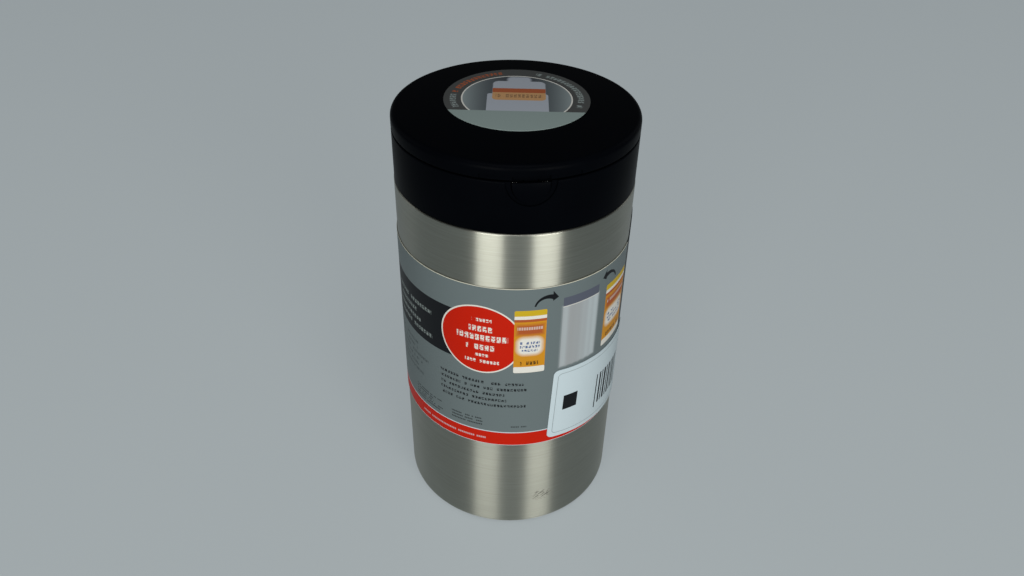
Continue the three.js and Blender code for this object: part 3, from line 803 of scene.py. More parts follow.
@dataclass(frozen=True)
class BrushedSteel:
    """Stainless steel brushed round the can, with the scuffs low at its front."""

    name: str = "brushed_steel"
    dark: Colour = (0.28, 0.284, 0.245)
    light: Colour = (0.365, 0.37, 0.325)
    roughness: float = 0.34
    unevenness: float = 0.1
    patch_scale: float = 16.0
    anisotropy: float = 1.0
    along_the_can: float = 0.25
    relief: float = 0.12
    relief_depth: float = 0.02
    scuff_arc: float = 12.5
    scuff_height: float = 24.5
    scuff_half: tuple[float, float] = (5.2, 3.4)
    scuff_edge: float = 3.0
    scuff_colour: Colour = (0.07, 0.068, 0.062)
    scuff_dulling: float = 0.2
    scratch_slant: float = 0.45
    scratch_scale: tuple[float, float] = (0.35, 1.1)
    scratch_level: float = 0.5
    scratch_edge: float = 14.0

    def build(self, scuffed: bool = True) -> bpy.types.Material:
        """Makes the material, with or without the scuffs.

        Args:
            scuffed: whether the scuffs are on it.

        Returns:
            The material.
        """
        material, graph, shader = new_material(self.name if scuffed else f"{self.name}_clean")
        lines = graph.use(brushing())
        patches = graph.use(mottle(), Patch_Scale=self.patch_scale)
        colour = graph.mix(lines.outputs["Value"], self.dark, self.light)
        lowest = self.roughness - self.unevenness / 2
        rough = graph.math("MULTIPLY_ADD", patches.outputs["Patches"], self.unevenness, lowest)
        if scuffed:
            mark = self.scuffs(graph)
            colour = graph.mix(mark, colour, self.scuff_colour)
            rough = graph.math("ADD", rough, graph.math("MULTIPLY", mark, self.scuff_dulling))
        graph.put(shader.inputs["Base Color"], colour)
        graph.put(shader.inputs["Roughness"], rough)
        shader.inputs["Metallic"].default_value = 1.0
        shader.inputs["Anisotropic"].default_value = self.anisotropy
        shader.inputs["Anisotropic Rotation"].default_value = self.along_the_can
        tangent = graph.node("ShaderNodeTangent", direction_type="RADIAL", axis="Z")
        graph.put(shader.inputs["Tangent"], tangent.outputs[0])
        add_bump(graph, shader, lines.outputs["Height"], self.relief, self.relief_depth)
        return material

    def scuffs(self, graph: Graph) -> bpy.types.NodeSocket:
        """Where the scuffs are: broken scratches within a small patch.

        Args:
            graph: the material's graph.

        Returns:
            A mask, 1 on the scratches.
        """
        place = graph.use(round_the_can())
        arc, height = place.outputs["Arc"], place.outputs["Height"]
        patch = graph.use(
            field_mask(), X=arc, Y=height, Centre_X=self.scuff_arc, Centre_Y=self.scuff_height,
            Half_Width=self.scuff_half[0], Half_Height=self.scuff_half[1],
            Corner=self.scuff_edge, Softness=self.scuff_edge)
        slant = graph.math("SUBTRACT", height, graph.math("MULTIPLY", arc, self.scratch_slant))
        vector = graph.node("ShaderNodeCombineXYZ", {
            0: graph.math("MULTIPLY", arc, self.scratch_scale[0]),
            1: graph.math("MULTIPLY", slant, self.scratch_scale[1]),
        }).outputs[0]
        scratch = graph.above(graph.noise(vector, 1.0, 5.0), self.scratch_level, self.scratch_edge)
        return graph.math("MULTIPLY", patch.outputs["Mask"], scratch)


@dataclass(frozen=True)
class MouldedPlastic:
    """Satin moulded plastic with a fine grain and faint handling marks."""

    name: str = "black_plastic"
    colour: Colour = (0.0004, 0.0006, 0.0012)
    handled: Colour = (0.0009, 0.0013, 0.0022)
    roughness: float = 0.38
    grain: float = 0.08
    gloss: float = 0.012
    grain_depth: float = 0.05
    patch_scale: float = 34.0
    smoother: float = 0.06
    rougher: float = 0.08

    def build(self) -> bpy.types.Material:
        """Makes the material.

        Returns:
            The material.
        """
        material, graph, shader = new_material(self.name)
        marks = graph.use(mottle(), Patch_Scale=self.patch_scale)
        graph.put(shader.inputs["Base Color"], graph.mix(marks.outputs["Patches"], self.colour, self.handled))
        low, high = self.roughness - self.smoother, self.roughness + self.rougher
        graph.put(shader.inputs["Roughness"], graph.remap(marks.outputs["Patches"], low, high))
        shader.inputs["Specular IOR Level"].default_value = self.gloss
        add_bump(graph, shader, marks.outputs["Grain"], self.grain, self.grain_depth)
        return material


@dataclass(frozen=True)
class SpringWire:
    """Plain drawn wire and pins."""

    name: str = "spring_wire"
    colour: Colour = (0.5, 0.5, 0.49)
    dullest: float = 0.7
    patch_scale: float = 220.0
    roughness: tuple[float, float] = (0.25, 0.4)

    def build(self) -> bpy.types.Material:
        """Makes the material.

        Returns:
            The material.
        """
        material, graph, shader = new_material(self.name)
        marks = graph.use(mottle(), Patch_Scale=self.patch_scale)
        dull = tuple(channel * self.dullest for channel in self.colour)
        graph.put(shader.inputs["Base Color"], graph.mix(marks.outputs["Patches"], dull, self.colour))
        graph.put(shader.inputs["Roughness"], graph.remap(marks.outputs["Patches"], *self.roughness))
        shader.inputs["Metallic"].default_value = 1.0
        return material


@dataclass(frozen=True)
class Field:
    """One printed field: a rectangle with round corners, in millimetres on its sheet.

    A dash breaks it into strokes of about that length, and a pitch stacks them in rows at that distance. The
    strength is how far it covers what lies under it.
    """

    x0: float
    x1: float
    y0: float
    y1: float
    colour: Colour
    corner: float = 0.0
    softness: float = 0.12
    dash: float = 0.0
    pitch: float = 0.0
    strength: float = 1.0


@dataclass(frozen=True)
class Arrow:
    """One printed arrow, by the middle of its ring. The side is 1 to point right and -1 to point left."""

    x: float
    y: float
    side: float
    colour: Colour


@dataclass(frozen=True)
class PrintedSheet:
    """Coated paper with printed fields and arrows, one over the other."""

    name: str
    ground: Colour
    fields: tuple[Field | Arrow, ...]
    roughness: float = 0.42
    spread: float = 0.006
    gloss: float = 0.07
    worn: Colour = (0.6, 0.62, 0.63)
    patch_scale: float = 24.0
    grain_scale: float = 1500.0
    smoother: float = 0.05
    rougher: float = 0.08
    relief: float = 0.15
    relief_depth: float = 0.12
    carving_scale: float = 1.15
    carving_level: float = 0.36
    carving_edge: float = 9.0
    carved_from: float = 1.2
    row_cover: float = 0.28
    row_ragged: float = 0.4
    seed_step: float = 7.3

    def print_on(
        self, graph: Graph, x: bpy.types.NodeSocket, y: bpy.types.NodeSocket, ground: Value
    ) -> bpy.types.NodeSocket:
        """Lays the fields over the ground.

        Args:
            graph: the material's graph.
            x: place along the sheet.
            y: place up the sheet.
            ground: the colour under the print.

        Returns:
            The printed colour.
        """
        colour = ground
        spot = graph.node("ShaderNodeCombineXYZ", {0: x, 1: y}).outputs[0]
        noise = graph.noise(spot, self.carving_scale, 0.0)
        carved = graph.above(noise, self.carving_level, self.carving_edge)
        for number, printed in enumerate(self.fields):
            if isinstance(printed, Arrow):
                arrow = graph.use(
                    arrow_mask(), X=x, Y=y, Centre_X=printed.x, Centre_Y=printed.y, Side=printed.side)
                colour = graph.mix(arrow.outputs["Mask"], colour, printed.colour)
                continue
            mask = graph.use(
                field_mask(), X=x, Y=y,
                Centre_X=(printed.x0 + printed.x1) / 2, Centre_Y=(printed.y0 + printed.y1) / 2,
                Half_Width=(printed.x1 - printed.x0) / 2, Half_Height=(printed.y1 - printed.y0) / 2,
                Corner=printed.corner, Softness=printed.softness).outputs["Mask"]
            if printed.dash > 0:
                rows = {
                    "Base": printed.y0, "Pitch": printed.pitch, "Cover": self.row_cover, "End": printed.x1,
                    "Ragged": (printed.x1 - printed.x0) * self.row_ragged,
                } if printed.pitch else {}
                dashes = graph.use(
                    broken_line(), X=x, Y=y, Row=number * self.seed_step, Dash=printed.dash, **rows)
                mask = graph.math("MULTIPLY", mask, dashes.outputs["Mask"])
                if printed.dash > self.carved_from:
                    mask = graph.math("MULTIPLY", mask, carved)
            if printed.strength < 1:
                mask = graph.math("MULTIPLY", mask, printed.strength)
            colour = graph.mix(mask, colour, printed.colour)
        return colour

    def dress(self, graph: Graph, shader: bpy.types.Node, colour: Value) -> None:
        """Gives the shader the print and the paper's own unevenness.

        Args:
            graph: the material's graph.
            shader: its main shader node.
            colour: the printed colour.
        """
        marks = graph.use(mottle(), Patch_Scale=self.patch_scale, Grain_Scale=self.grain_scale)
        faded = graph.math("MULTIPLY", marks.outputs["Patches"], self.spread)
        graph.put(shader.inputs["Base Color"], graph.mix(faded, colour, self.worn))
        low, high = self.roughness - self.smoother, self.roughness + self.rougher
        graph.put(shader.inputs["Roughness"], graph.remap(marks.outputs["Patches"], low, high))
        shader.inputs["Specular IOR Level"].default_value = self.gloss
        add_bump(graph, shader, marks.outputs["Patches"], self.relief, self.relief_depth)

    def build(
        self, radius: float, lean: float = 0.0, about: tuple[float, float] = (0.0, 0.0)
    ) -> bpy.types.Material:
        """Makes the material of a wrapped sheet.

        Args:
            radius: the radius of the sheet.
            lean: how far its print leans to the right, for each millimetre up.
            about: the place that it leans round.

        Returns:
            The material.
        """
        material, graph, shader = new_material(self.name)
        place = graph.use(round_the_can(), Radius=radius)
        across, up = place.outputs["Arc"], place.outputs["Height"]
        if lean:
            run = graph.math("SUBTRACT", across, about[0])
            rise = graph.math("SUBTRACT", up, about[1])
            across = graph.math("SUBTRACT", across, graph.math("MULTIPLY", rise, lean))
            up = graph.math("ADD", up, graph.math("MULTIPLY", run, lean))
        colour = self.print_on(graph, across, up, self.ground)
        self.dress(graph, shader, colour)
        return material


GREY: Colour = (0.104, 0.131, 0.139)
PALE: Colour = (0.2, 0.24, 0.24)
INK: Colour = (0.004, 0.005, 0.007)
RED: Colour = (0.395, 0.009, 0.001)
RUST: Colour = (0.3, 0.07, 0.02)
WHITE: Colour = (0.43, 0.515, 0.565)
PLAIN_WHITE: Colour = (0.56, 0.56, 0.53)
# Pale line at the wrap's top edge: the paper's white cut edge with a painted highlight on it.
PAPER_EDGE_AND_HIGHLIGHT: Colour = (0.56, 0.55, 0.46)
DARK_GREY: Colour = (0.045, 0.048, 0.048)
AMBER: Colour = (0.45, 0.2, 0.012)
YELLOW: Colour = (0.43, 0.3, 0.015)
SILVER: Colour = (0.25, 0.27, 0.285)
VIOLET: Colour = (0.07, 0.08, 0.11)
BLUE: Colour = (0.06, 0.1, 0.22)
LILAC: Colour = (0.3, 0.33, 0.38)
SAGE: Colour = (0.2, 0.255, 0.25)


def blend_colours(first: Colour, second: Colour, share: float) -> Colour:
    """The colour between two, by the second one's share."""
    return tuple(low + (high - low) * share for low, high in zip(first, second))


# Sizes that several sub-assemblies share


def node_box(node: str) -> tuple[Vector, Vector]:
    """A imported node's lowest and highest corners, in millimetres."""
    low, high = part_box(node)
    return low / MM, high / MM


@dataclass(frozen=True)
class Layout:
    """The heights and radii that the sub-assemblies share, in millimetres."""

    radius: float
    collar_radius: float
    steel_top: float
    collar_top: float
    lid_low: float
    lid_top: float
    hinge_y: float
    hinge_z: float
    seat_gap: float = 0.3
    run_gap: float = 0.2
    steel_wall: float = 0.8
    hem: float = 1.6
    hem_height: float = 5.0
    hem_round: float = 0.7

    @classmethod
    def from_frame(cls, parting: float = 0.9) -> Layout:
        """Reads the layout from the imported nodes.

        Args:
            parting: the gap between collar and lid.

        Returns:
            The layout.
        """
        _, can = node_box("steel_body")
        _, shell = node_box("lid_shell")
        pin_low, pin_high = node_box("hinge_pin")
        hinge = (pin_low + pin_high) / 2
        return cls(
            radius=can.x, collar_radius=shell.x, steel_top=can.z, collar_top=hinge.z - parting / 2,
            lid_low=hinge.z + parting / 2, lid_top=shell.z, hinge_y=hinge.y, hinge_z=hinge.z)


@dataclass(frozen=True)
class Latch:
    """Sizes of the latch.

    A depth is a distance from the can's axis to the front. A drop is a distance down from the collar's top.
    """

    layout: Layout
    button_radius: float = 8.7
    arc_drop: float = 1.8
    top_drop: float = 0.3
    sink: float = 0.2
    face_wall: float = 1.2
    travel: float = 1.2
    side_gap: float = 0.3
    dish_radius: float = 11.7
    dish_drop: float = 0.2
    dish_depth: float = 0.8
    dish_steps: int = 120
    arm_x: float = 4.3
    arm_wall: float = 1.4
    arm_low_drop: float = 7.1
    arm_high_drop: float = 2.1
    ear_reach: float = 9.8
    ear_height: float = 1.6
    catch_drop: float = 4.8
    catch_height: float = 1.6
    catch_wall: float = 1.2
    tongue_width: float = 6.0
    tongue_wall: float = 1.2
    tongue_tip_drop: float = 7.1
    barb: float = 0.8
    slot_gap: float = 0.6
    pocket_half: float = 10.3
    pocket_low_drop: float = 11.3
    pocket_high_drop: float = 1.0
    housing_wall: float = 3.3
    housing_drop: float = 13.1
    screw_drop: float = 6.2
    screw_radius: float = 0.75
    screw_length: float = 3.2
    screw_steps: int = 16
    spring_x: float = 6.8
    spring_drop: float = 2.7
    spigot_radius: float = 0.65
    spigot_length: float = 1.3
    spigot_steps: int = 24

    @property
    def face(self) -> float:
        """Depth of the button's front face."""
        return self.layout.collar_radius - self.sink

    @property
    def face_back(self) -> float:
        """Depth of the back of the button's face."""
        return self.face - self.face_wall

    @property
    def tongue(self) -> float:
        """Depth of the front of the lid's tongue, which is also the pocket's."""
        return self.face_back - self.travel - self.layout.run_gap

    @property
    def tongue_back(self) -> float:
        """Depth of the back of the lid's tongue."""
        return self.tongue - self.tongue_wall

    @property
    def barb_depth(self) -> float:
        """Depth of the barb's tip."""
        return self.tongue_back - self.barb

    @property
    def catch(self) -> float:
        """Depth of the front of the button's crossbar."""
        return self.tongue_back - self.layout.run_gap

    @property
    def catch_back(self) -> float:
        """Depth of the back of the button's crossbar."""
        return self.catch - self.catch_wall

    @property
    def cover(self) -> float:
        """Depth of the latch cover's front."""
        return self.catch_back - self.travel - self.layout.seat_gap

    def down(self, drop: float) -> float:
        """The height at a drop from the collar's top."""
        return self.layout.collar_top - drop

    def button_outline(self, gap: float, top: float) -> list[Vector]:
        """The button's outline: a flat top over a half round.

        Args:
            gap: how much wider the outline is all round.
            top: the height of its flat top.

        Returns:
            The outline's points in x and z.
        """
        radius, centre, steps = self.button_radius + gap, self.down(self.arc_drop), 48
        arc = (math.pi + math.pi * k / steps for k in range(steps + 1))
        points = [Vector((radius * math.cos(t), centre + radius * math.sin(t))) for t in arc]
        return [Vector((-radius, top)), *points, Vector((radius, top))]


# Sub-assemblies


@dataclass(frozen=True)
class SteelCan:
    """The drawn can, with a rounded foot, a hem folded inwards at the mouth, and the pad under it."""

    layout: Layout
    foot_round: float = 4.5
    pad_inset: float = 6.5
    pad_height: float = 1.7
    pad_proud: float = 0.9
    pad_edge: float = 0.4
    recess_round: float = 0.6

    def build(self) -> None:
        """Makes and dresses the can and its pad."""
        self.dress(self.build_body(), "steel_body", "steel", BrushedSteel().build())
        rubber = MouldedPlastic(
            "black_foot", colour=(0.008, 0.0085, 0.009), handled=(0.014, 0.0145, 0.015),
            roughness=0.75, grain=0.3)
        self.dress(self.build_pad(), "base_pad", "black_foot", rubber.build())

    def build_body(self) -> bpy.types.Object:
        """Makes the can's wall, floor and hem as one revolved sheet.

        Returns:
            The solid, not yet dressed.
        """
        lay, proud = self.layout, self.pad_proud
        outer, top, wall = lay.radius, lay.steel_top, lay.steel_wall
        recess = outer - self.pad_inset + lay.seat_gap
        floor = self.pad_height + lay.seat_gap
        hem = outer - lay.hem
        return lathe("can_body", [
            (0, floor),
            (recess, floor, self.recess_round),
            (recess, proud, self.recess_round / 2),
            (outer, proud, self.foot_round),
            (outer, top, lay.hem_round),
            (hem, top, lay.hem_round),
            (hem, top - lay.hem_height),
            (outer - wall, top - lay.hem_height - wall),
            (outer - wall, proud + wall, self.foot_round - wall),
            (recess + wall, proud + wall),
            (recess + wall, floor + wall),
            (0, floor + wall),
        ])

    def build_pad(self) -> bpy.types.Object:
        """Makes the non-slip disc."""
        radius, height = self.layout.radius - self.pad_inset, self.pad_height
        return lathe("foot_pad", [(0, 0), (radius, 0, self.pad_edge), (radius, height), (0, height)])

    @staticmethod
    def dress(piece: bpy.types.Object, node: str, slot: str, material: bpy.types.Material) -> None:
        """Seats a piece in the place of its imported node."""
        smooth(piece)
        seat(piece, Body.CANISTER, slot, material, node)


@dataclass(frozen=True)
class Hinge:
    """The lid's hinge: knuckles, pin and two torsion springs."""

    layout: Layout
    barrel: float = 2.8
    pin_radius: float = 1.0
    lid_half: float = 5.0
    outer_x: float = 10.0
    outer_width: float = 5.0
    collar_gusset: float = 9.7
    lid_gusset: float = 4.9
    spring_radius: float = 1.9
    spring_wire: float = 0.6
    spring_turns: int = 4
    spring_pitch: float = 0.8
    spring_leg: float = 6.0
    turn_steps: int = 20

    def knuckle(
        self, root: tuple[float, float], edge: tuple[float, float], side: int, start: float, end: float
    ) -> bpy.types.Object:
        """Makes one knuckle with the gusset that joins it to a wall.

        Args:
            root: y and z of the gusset's corner inside the wall.
            edge: y and z of its corner on the wall's outside.
            side: which side of the barrel the gusset's slope touches, 1 or -1.
            start: where the knuckle starts along X.
            end: where it ends.

        Returns:
            The knuckle.
        """
        centre = Vector((self.layout.hinge_y, self.layout.hinge_z))
        corner = Vector(edge)
        reach = corner - centre
        turn = Matrix.Rotation(side * math.acos(self.barrel / reach.length), 2)
        touch = centre + turn @ (reach.normalized() * self.barrel)
        gusset = [Vector(root), Vector((root[0], edge[1])), corner, touch, centre]
        barrel = extrude("knuckle", circle(centre.x, centre.y, self.barrel), Direction.ACROSS, start, end)
        combine(barrel, extrude("gusset", gusset, Direction.ACROSS, start, end), Join.ADD)
        return barrel

    def pin_hole(self) -> bpy.types.Object:
        """Makes the tool that cuts the pin's hole."""
        hole = circle(self.layout.hinge_y, self.layout.hinge_z, self.pin_radius + self.layout.seat_gap)
        return extrude("pin_hole", hole, Direction.ACROSS, -self.layout.radius / 2, self.layout.radius / 2)

    def build(self, metal: bpy.types.Material) -> None:
        """Makes the pin and the springs.

        Args:
            metal: what the pin and the springs are dressed in.
        """
        half = self.outer_x + self.outer_width + self.layout.seat_gap
        round_pin = circle(self.layout.hinge_y, self.layout.hinge_z, self.pin_radius)
        pin = extrude("pin", round_pin, Direction.ACROSS, -half, half)
        smooth(pin, bevel=0.2)
        seat(pin, Body.CANISTER, "spring_wire", metal, "hinge_pin")
        for side, name in ((-1, "left"), (1, "right")):
            spring = wire(f"lid_spring_{name}", self.spring_path(side), self.spring_wire)
            smooth(spring)
            seat(spring, Body.CANISTER, "spring_wire", metal, f"hinge_spring_{name}", rides=False)
            middle = side * (self.lid_half + self.outer_x) / 2
            reach = side * self.spring_turns * self.spring_pitch / 2
            start, end = Vector((middle - reach, 0, 0)) * MM, Vector((middle + reach, 0, 0)) * MM
            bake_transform(spring)
            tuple(start)
            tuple(end)

    def spring_path(self, side: int) -> list[Vector]:
        """The middle line of one spring: a leg on the collar, the coil, and a leg on the lid.

        Args:
            side: -1 for the left spring and 1 for the right one.

        Returns:
            The line's points, in millimetres.
        """
        lay = self.layout
        middle = (self.lid_half + self.outer_x) / 2
        wall = math.sqrt(lay.collar_radius**2 - middle**2) + lay.seat_gap + self.spring_wire / 2
        half = self.spring_turns * self.spring_pitch / 2
        count = self.spring_turns * self.turn_steps
        coil = []
        for i in range(count + 1):
            turn = 2 * math.pi * i / self.turn_steps
            x = side * (middle - half + 2 * half * i / count)
            y = lay.hinge_y - self.spring_radius * math.cos(turn)
            coil.append(Vector((x, y, lay.hinge_z + self.spring_radius * math.sin(turn))))
        low = Vector((coil[0].x, wall, lay.hinge_z - self.spring_leg))
        high = Vector((coil[-1].x, wall, lay.hinge_z + self.spring_leg))
        return [low, *coil, high]


@dataclass(frozen=True)
class Collar:
    """The moulded ring in the can's mouth, with the latch housing, button dish and two hinge knuckles."""

    layout: Layout
    latch: Latch
    hinge: Hinge
    skirt_wall: float = 1.7
    skirt_height: float = 13.0
    bead: float = 0.6
    bead_height: float = 1.6
    lip: float = 1.4
    lip_height: float = 2.0
    edge_round: float = 0.6

    def build(self, plastic: bpy.types.Material) -> None:
        """Makes and dresses the collar.

        Args:
            plastic: what it is dressed in.
        """
        lay, latch = self.layout, self.latch
        skirt_out = lay.radius - lay.hem - lay.seat_gap
        body = self.build_ring(skirt_out)
        combine(body, self.build_housing(skirt_out), Join.ADD)
        combine(body, self.build_dish(), Join.CUT)
        for tool in self.latch_tools():
            combine(body, tool, Join.CUT)
        root = (skirt_out - self.skirt_wall + lay.seat_gap, lay.collar_top)
        far = self.hinge.outer_x + self.hinge.outer_width
        outside = math.sqrt(lay.collar_radius**2 - far**2) + lay.seat_gap
        edge = (outside, lay.collar_top - self.hinge.collar_gusset)
        for side in (-1, 1):
            start, end = sorted((side * self.hinge.outer_x, side * far))
            combine(body, self.hinge.knuckle(root, edge, 1, start, end), Join.ADD)
            pilot = circle(
                side * (latch.pocket_half + latch.housing_wall / 2), latch.down(latch.screw_drop),
                latch.screw_radius + lay.run_gap, latch.screw_steps)
            depth = latch.cover + lay.seat_gap + latch.screw_length
            combine(body, extrude("pilot", pilot, Direction.FORWARD, 0, depth), Join.CUT)
        combine(body, self.hinge.pin_hole(), Join.CUT)
        body.name = "collar_ring"
        smooth(body)
        seat(body, Body.CANISTER, "black_plastic", plastic, "collar")

    def build_ring(self, skirt_out: float) -> bpy.types.Object:
        """Makes the ring with its skirt and snap bead.

        Args:
            skirt_out: the skirt's outer radius.

        Returns:
            The solid, not yet dressed.
        """
        lay = self.layout
        skirt_in = skirt_out - self.skirt_wall
        mouth = skirt_in - self.lip
        bead_top = lay.steel_top - lay.hem_height - lay.steel_wall - lay.seat_gap
        seat_z = lay.steel_top + lay.seat_gap
        lip_z = lay.collar_top - self.lip_height
        return lathe("ring", [
            (skirt_in, lay.steel_top - self.skirt_height),
            (skirt_out, lay.steel_top - self.skirt_height, lay.hem_round / 2),
            (skirt_out, bead_top - self.bead_height),
            (skirt_out + self.bead, bead_top - self.bead_height / 2),
            (skirt_out, bead_top),
            (skirt_out, seat_z),
            (lay.collar_radius, seat_z, self.edge_round),
            (lay.collar_radius, lay.collar_top, self.edge_round),
            (mouth, lay.collar_top, self.edge_round),
            (mouth, lip_z),
            (skirt_in, lip_z - self.lip),
        ])

    def build_housing(self, skirt_out: float) -> bpy.types.Object:
        """Makes the block that the latch's pocket is cut in.

        Args:
            skirt_out: the skirt's outer radius.

        Returns:
            The solid, not yet dressed.
        """
        lay, latch = self.layout, self.latch
        half = latch.pocket_half + latch.housing_wall
        front, back = -(skirt_out + lay.collar_radius) / 2, -(latch.cover + lay.seat_gap)
        low = latch.down(latch.housing_drop)
        block = extrude("housing", rectangle(-half, half, front, back), Direction.UP, low, lay.collar_top)
        combine(block, cylinder("inside", skirt_out, low - 1, lay.lid_top), Join.KEEP)
        return block

    def build_dish(self) -> bpy.types.Object:
        """Makes the tool that cuts the shallow dish about the button.

        Returns:
            The tool.
        """
        lay, latch = self.layout, self.latch
        centre = latch.down(latch.dish_drop)
        outline = circle(0, centre, latch.dish_radius, latch.dish_steps)
        disc = extrude(
            "dish", outline, Direction.FORWARD, lay.collar_radius / 2, lay.radius + lay.seat_gap)
        floor = lay.collar_radius - latch.dish_depth
        low = centre - 2 * latch.dish_radius
        combine(disc, cylinder("core", floor, low, lay.lid_top), Join.CUT)
        return disc

    def latch_tools(self) -> list[bpy.types.Object]:
        """Makes the tools that cut the button's opening, the pocket and the tongue's slot.

        Returns:
            The tools, in the order in which they cut.
        """
        lay, latch = self.layout, self.latch
        above = lay.lid_low
        opening = extrude(
            "opening", latch.button_outline(latch.side_gap, above), Direction.FORWARD,
            latch.tongue - lay.run_gap, lay.radius + 1)
        low, high = latch.down(latch.pocket_low_drop), latch.down(latch.pocket_high_drop)
        outline = rectangle(-latch.pocket_half, latch.pocket_half, low, high)
        pocket = extrude("pocket", outline, Direction.FORWARD, latch.cover, latch.tongue)
        half = latch.tongue_width / 2 + latch.slot_gap
        slot = extrude(
            "slot", rectangle(-half, half, high - lay.run_gap, above), Direction.FORWARD,
            latch.barb_depth - latch.slot_gap, latch.tongue)
        return [opening, pocket, slot]


@dataclass(frozen=True)
class PushButton:
    """The half-round button, its arms and crossbar, and its two return springs."""

    layout: Layout
    latch: Latch
    edge_round: float = 0.35
    spring_radius: float = 1.2
    spring_wire: float = 0.35
    spring_turns: int = 4
    turn_steps: int = 20

    def build(self, plastic: bpy.types.Material, metal: bpy.types.Material) -> None:
        """Makes and dresses the button and its springs.

        Args:
            plastic: what the button is dressed in.
            metal: what its springs are dressed in.
        """
        body = self.build_face()
        for tool in self.arm_parts():
            combine(body, tool, Join.ADD)
        body.name = "button_cap"
        smooth(body)
        seat(body, Body.BUTTON, "black_plastic", plastic, "push_button")
        for side, name in ((-1, "left"), (1, "right")):
            self.build_spring(side, name, metal)

    def build_face(self) -> bpy.types.Object:
        """Makes the button's face, curved as the collar is.

        Returns:
            The solid, not yet dressed.
        """
        lay, latch = self.layout, self.latch
        outline = latch.button_outline(0, latch.down(latch.top_drop))
        face = extrude("face", outline, Direction.FORWARD, latch.face_back, lay.radius)
        combine(face, cylinder("front", latch.face, 0, lay.lid_top), Join.KEEP)
        smooth(face, bevel=self.edge_round)
        return face

    def arm_parts(self) -> Iterable[bpy.types.Object]:
        """Makes the crossbar, and each side's arm, stop ear and spring spigot, one after another.

        Returns:
            The solids that are joined to the face.
        """
        latch, gap = self.latch, self.layout.run_gap
        low, high = latch.down(latch.arm_low_drop), latch.down(latch.arm_high_drop)
        catch_low = latch.down(latch.catch_drop)
        catch_high = catch_low + latch.catch_height
        round_edge = latch.catch_wall / 2
        bar = rounded([
            (-latch.catch, catch_low), (-latch.catch_back, catch_low), (-latch.catch_back, catch_high),
            (-latch.catch, catch_high, round_edge)])
        out = latch.arm_x + latch.arm_wall / 2
        yield extrude("bar", bar, Direction.ACROSS, -out, out)
        side_view = rounded([
            (-latch.face_back - gap, low), (-latch.catch_back, low), (-latch.catch_back, catch_high),
            (-latch.catch, catch_high, round_edge), (-latch.catch - latch.catch_wall, high),
            (-latch.face_back - gap, high)])
        pocket_stop = latch.tongue - self.layout.seat_gap
        for side in (-1, 1):
            middle = side * latch.arm_x
            left, right = middle - latch.arm_wall / 2, middle + latch.arm_wall / 2
            yield extrude("arm", side_view, Direction.ACROSS, left, right)
            start, end = sorted((middle, side * latch.ear_reach))
            ear = rectangle(start, end, low, low + latch.ear_height, gap)
            yield extrude("ear", ear, Direction.FORWARD, pocket_stop - latch.catch_wall, pocket_stop)
            spigot = circle(
                side * latch.spring_x, latch.down(latch.spring_drop), latch.spigot_radius,
                latch.spigot_steps)
            back, front = latch.face_back - latch.spigot_length, latch.face_back + gap
            yield extrude("spigot", spigot, Direction.FORWARD, back, front)

    def build_spring(self, side: int, name: str, metal: bpy.types.Material) -> None:
        """Makes one return spring.

        Args:
            side: -1 for the left spring and 1 for the right one.
            name: left or right.
            metal: what it is dressed in.
        """
        latch, gap = self.latch, self.layout.run_gap
        inner = latch.cover + gap + self.spring_wire / 2
        outer = latch.face_back - gap - self.spring_wire / 2
        count = self.spring_turns * self.turn_steps
        centre = latch.down(latch.spring_drop)
        points = []
        for i in range(count + 1):
            turn = 2 * math.pi * i / self.turn_steps
            x = side * latch.spring_x + self.spring_radius * math.cos(turn)
            depth = inner + (outer - inner) * i / count
            points.append(Vector((x, -depth, centre + self.spring_radius * math.sin(turn))))
        spring = wire(f"return_spring_{name}", points, self.spring_wire)
        smooth(spring)
        seat(spring, Body.CANISTER, "spring_wire", metal, f"button_spring_{name}")
        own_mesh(spring)


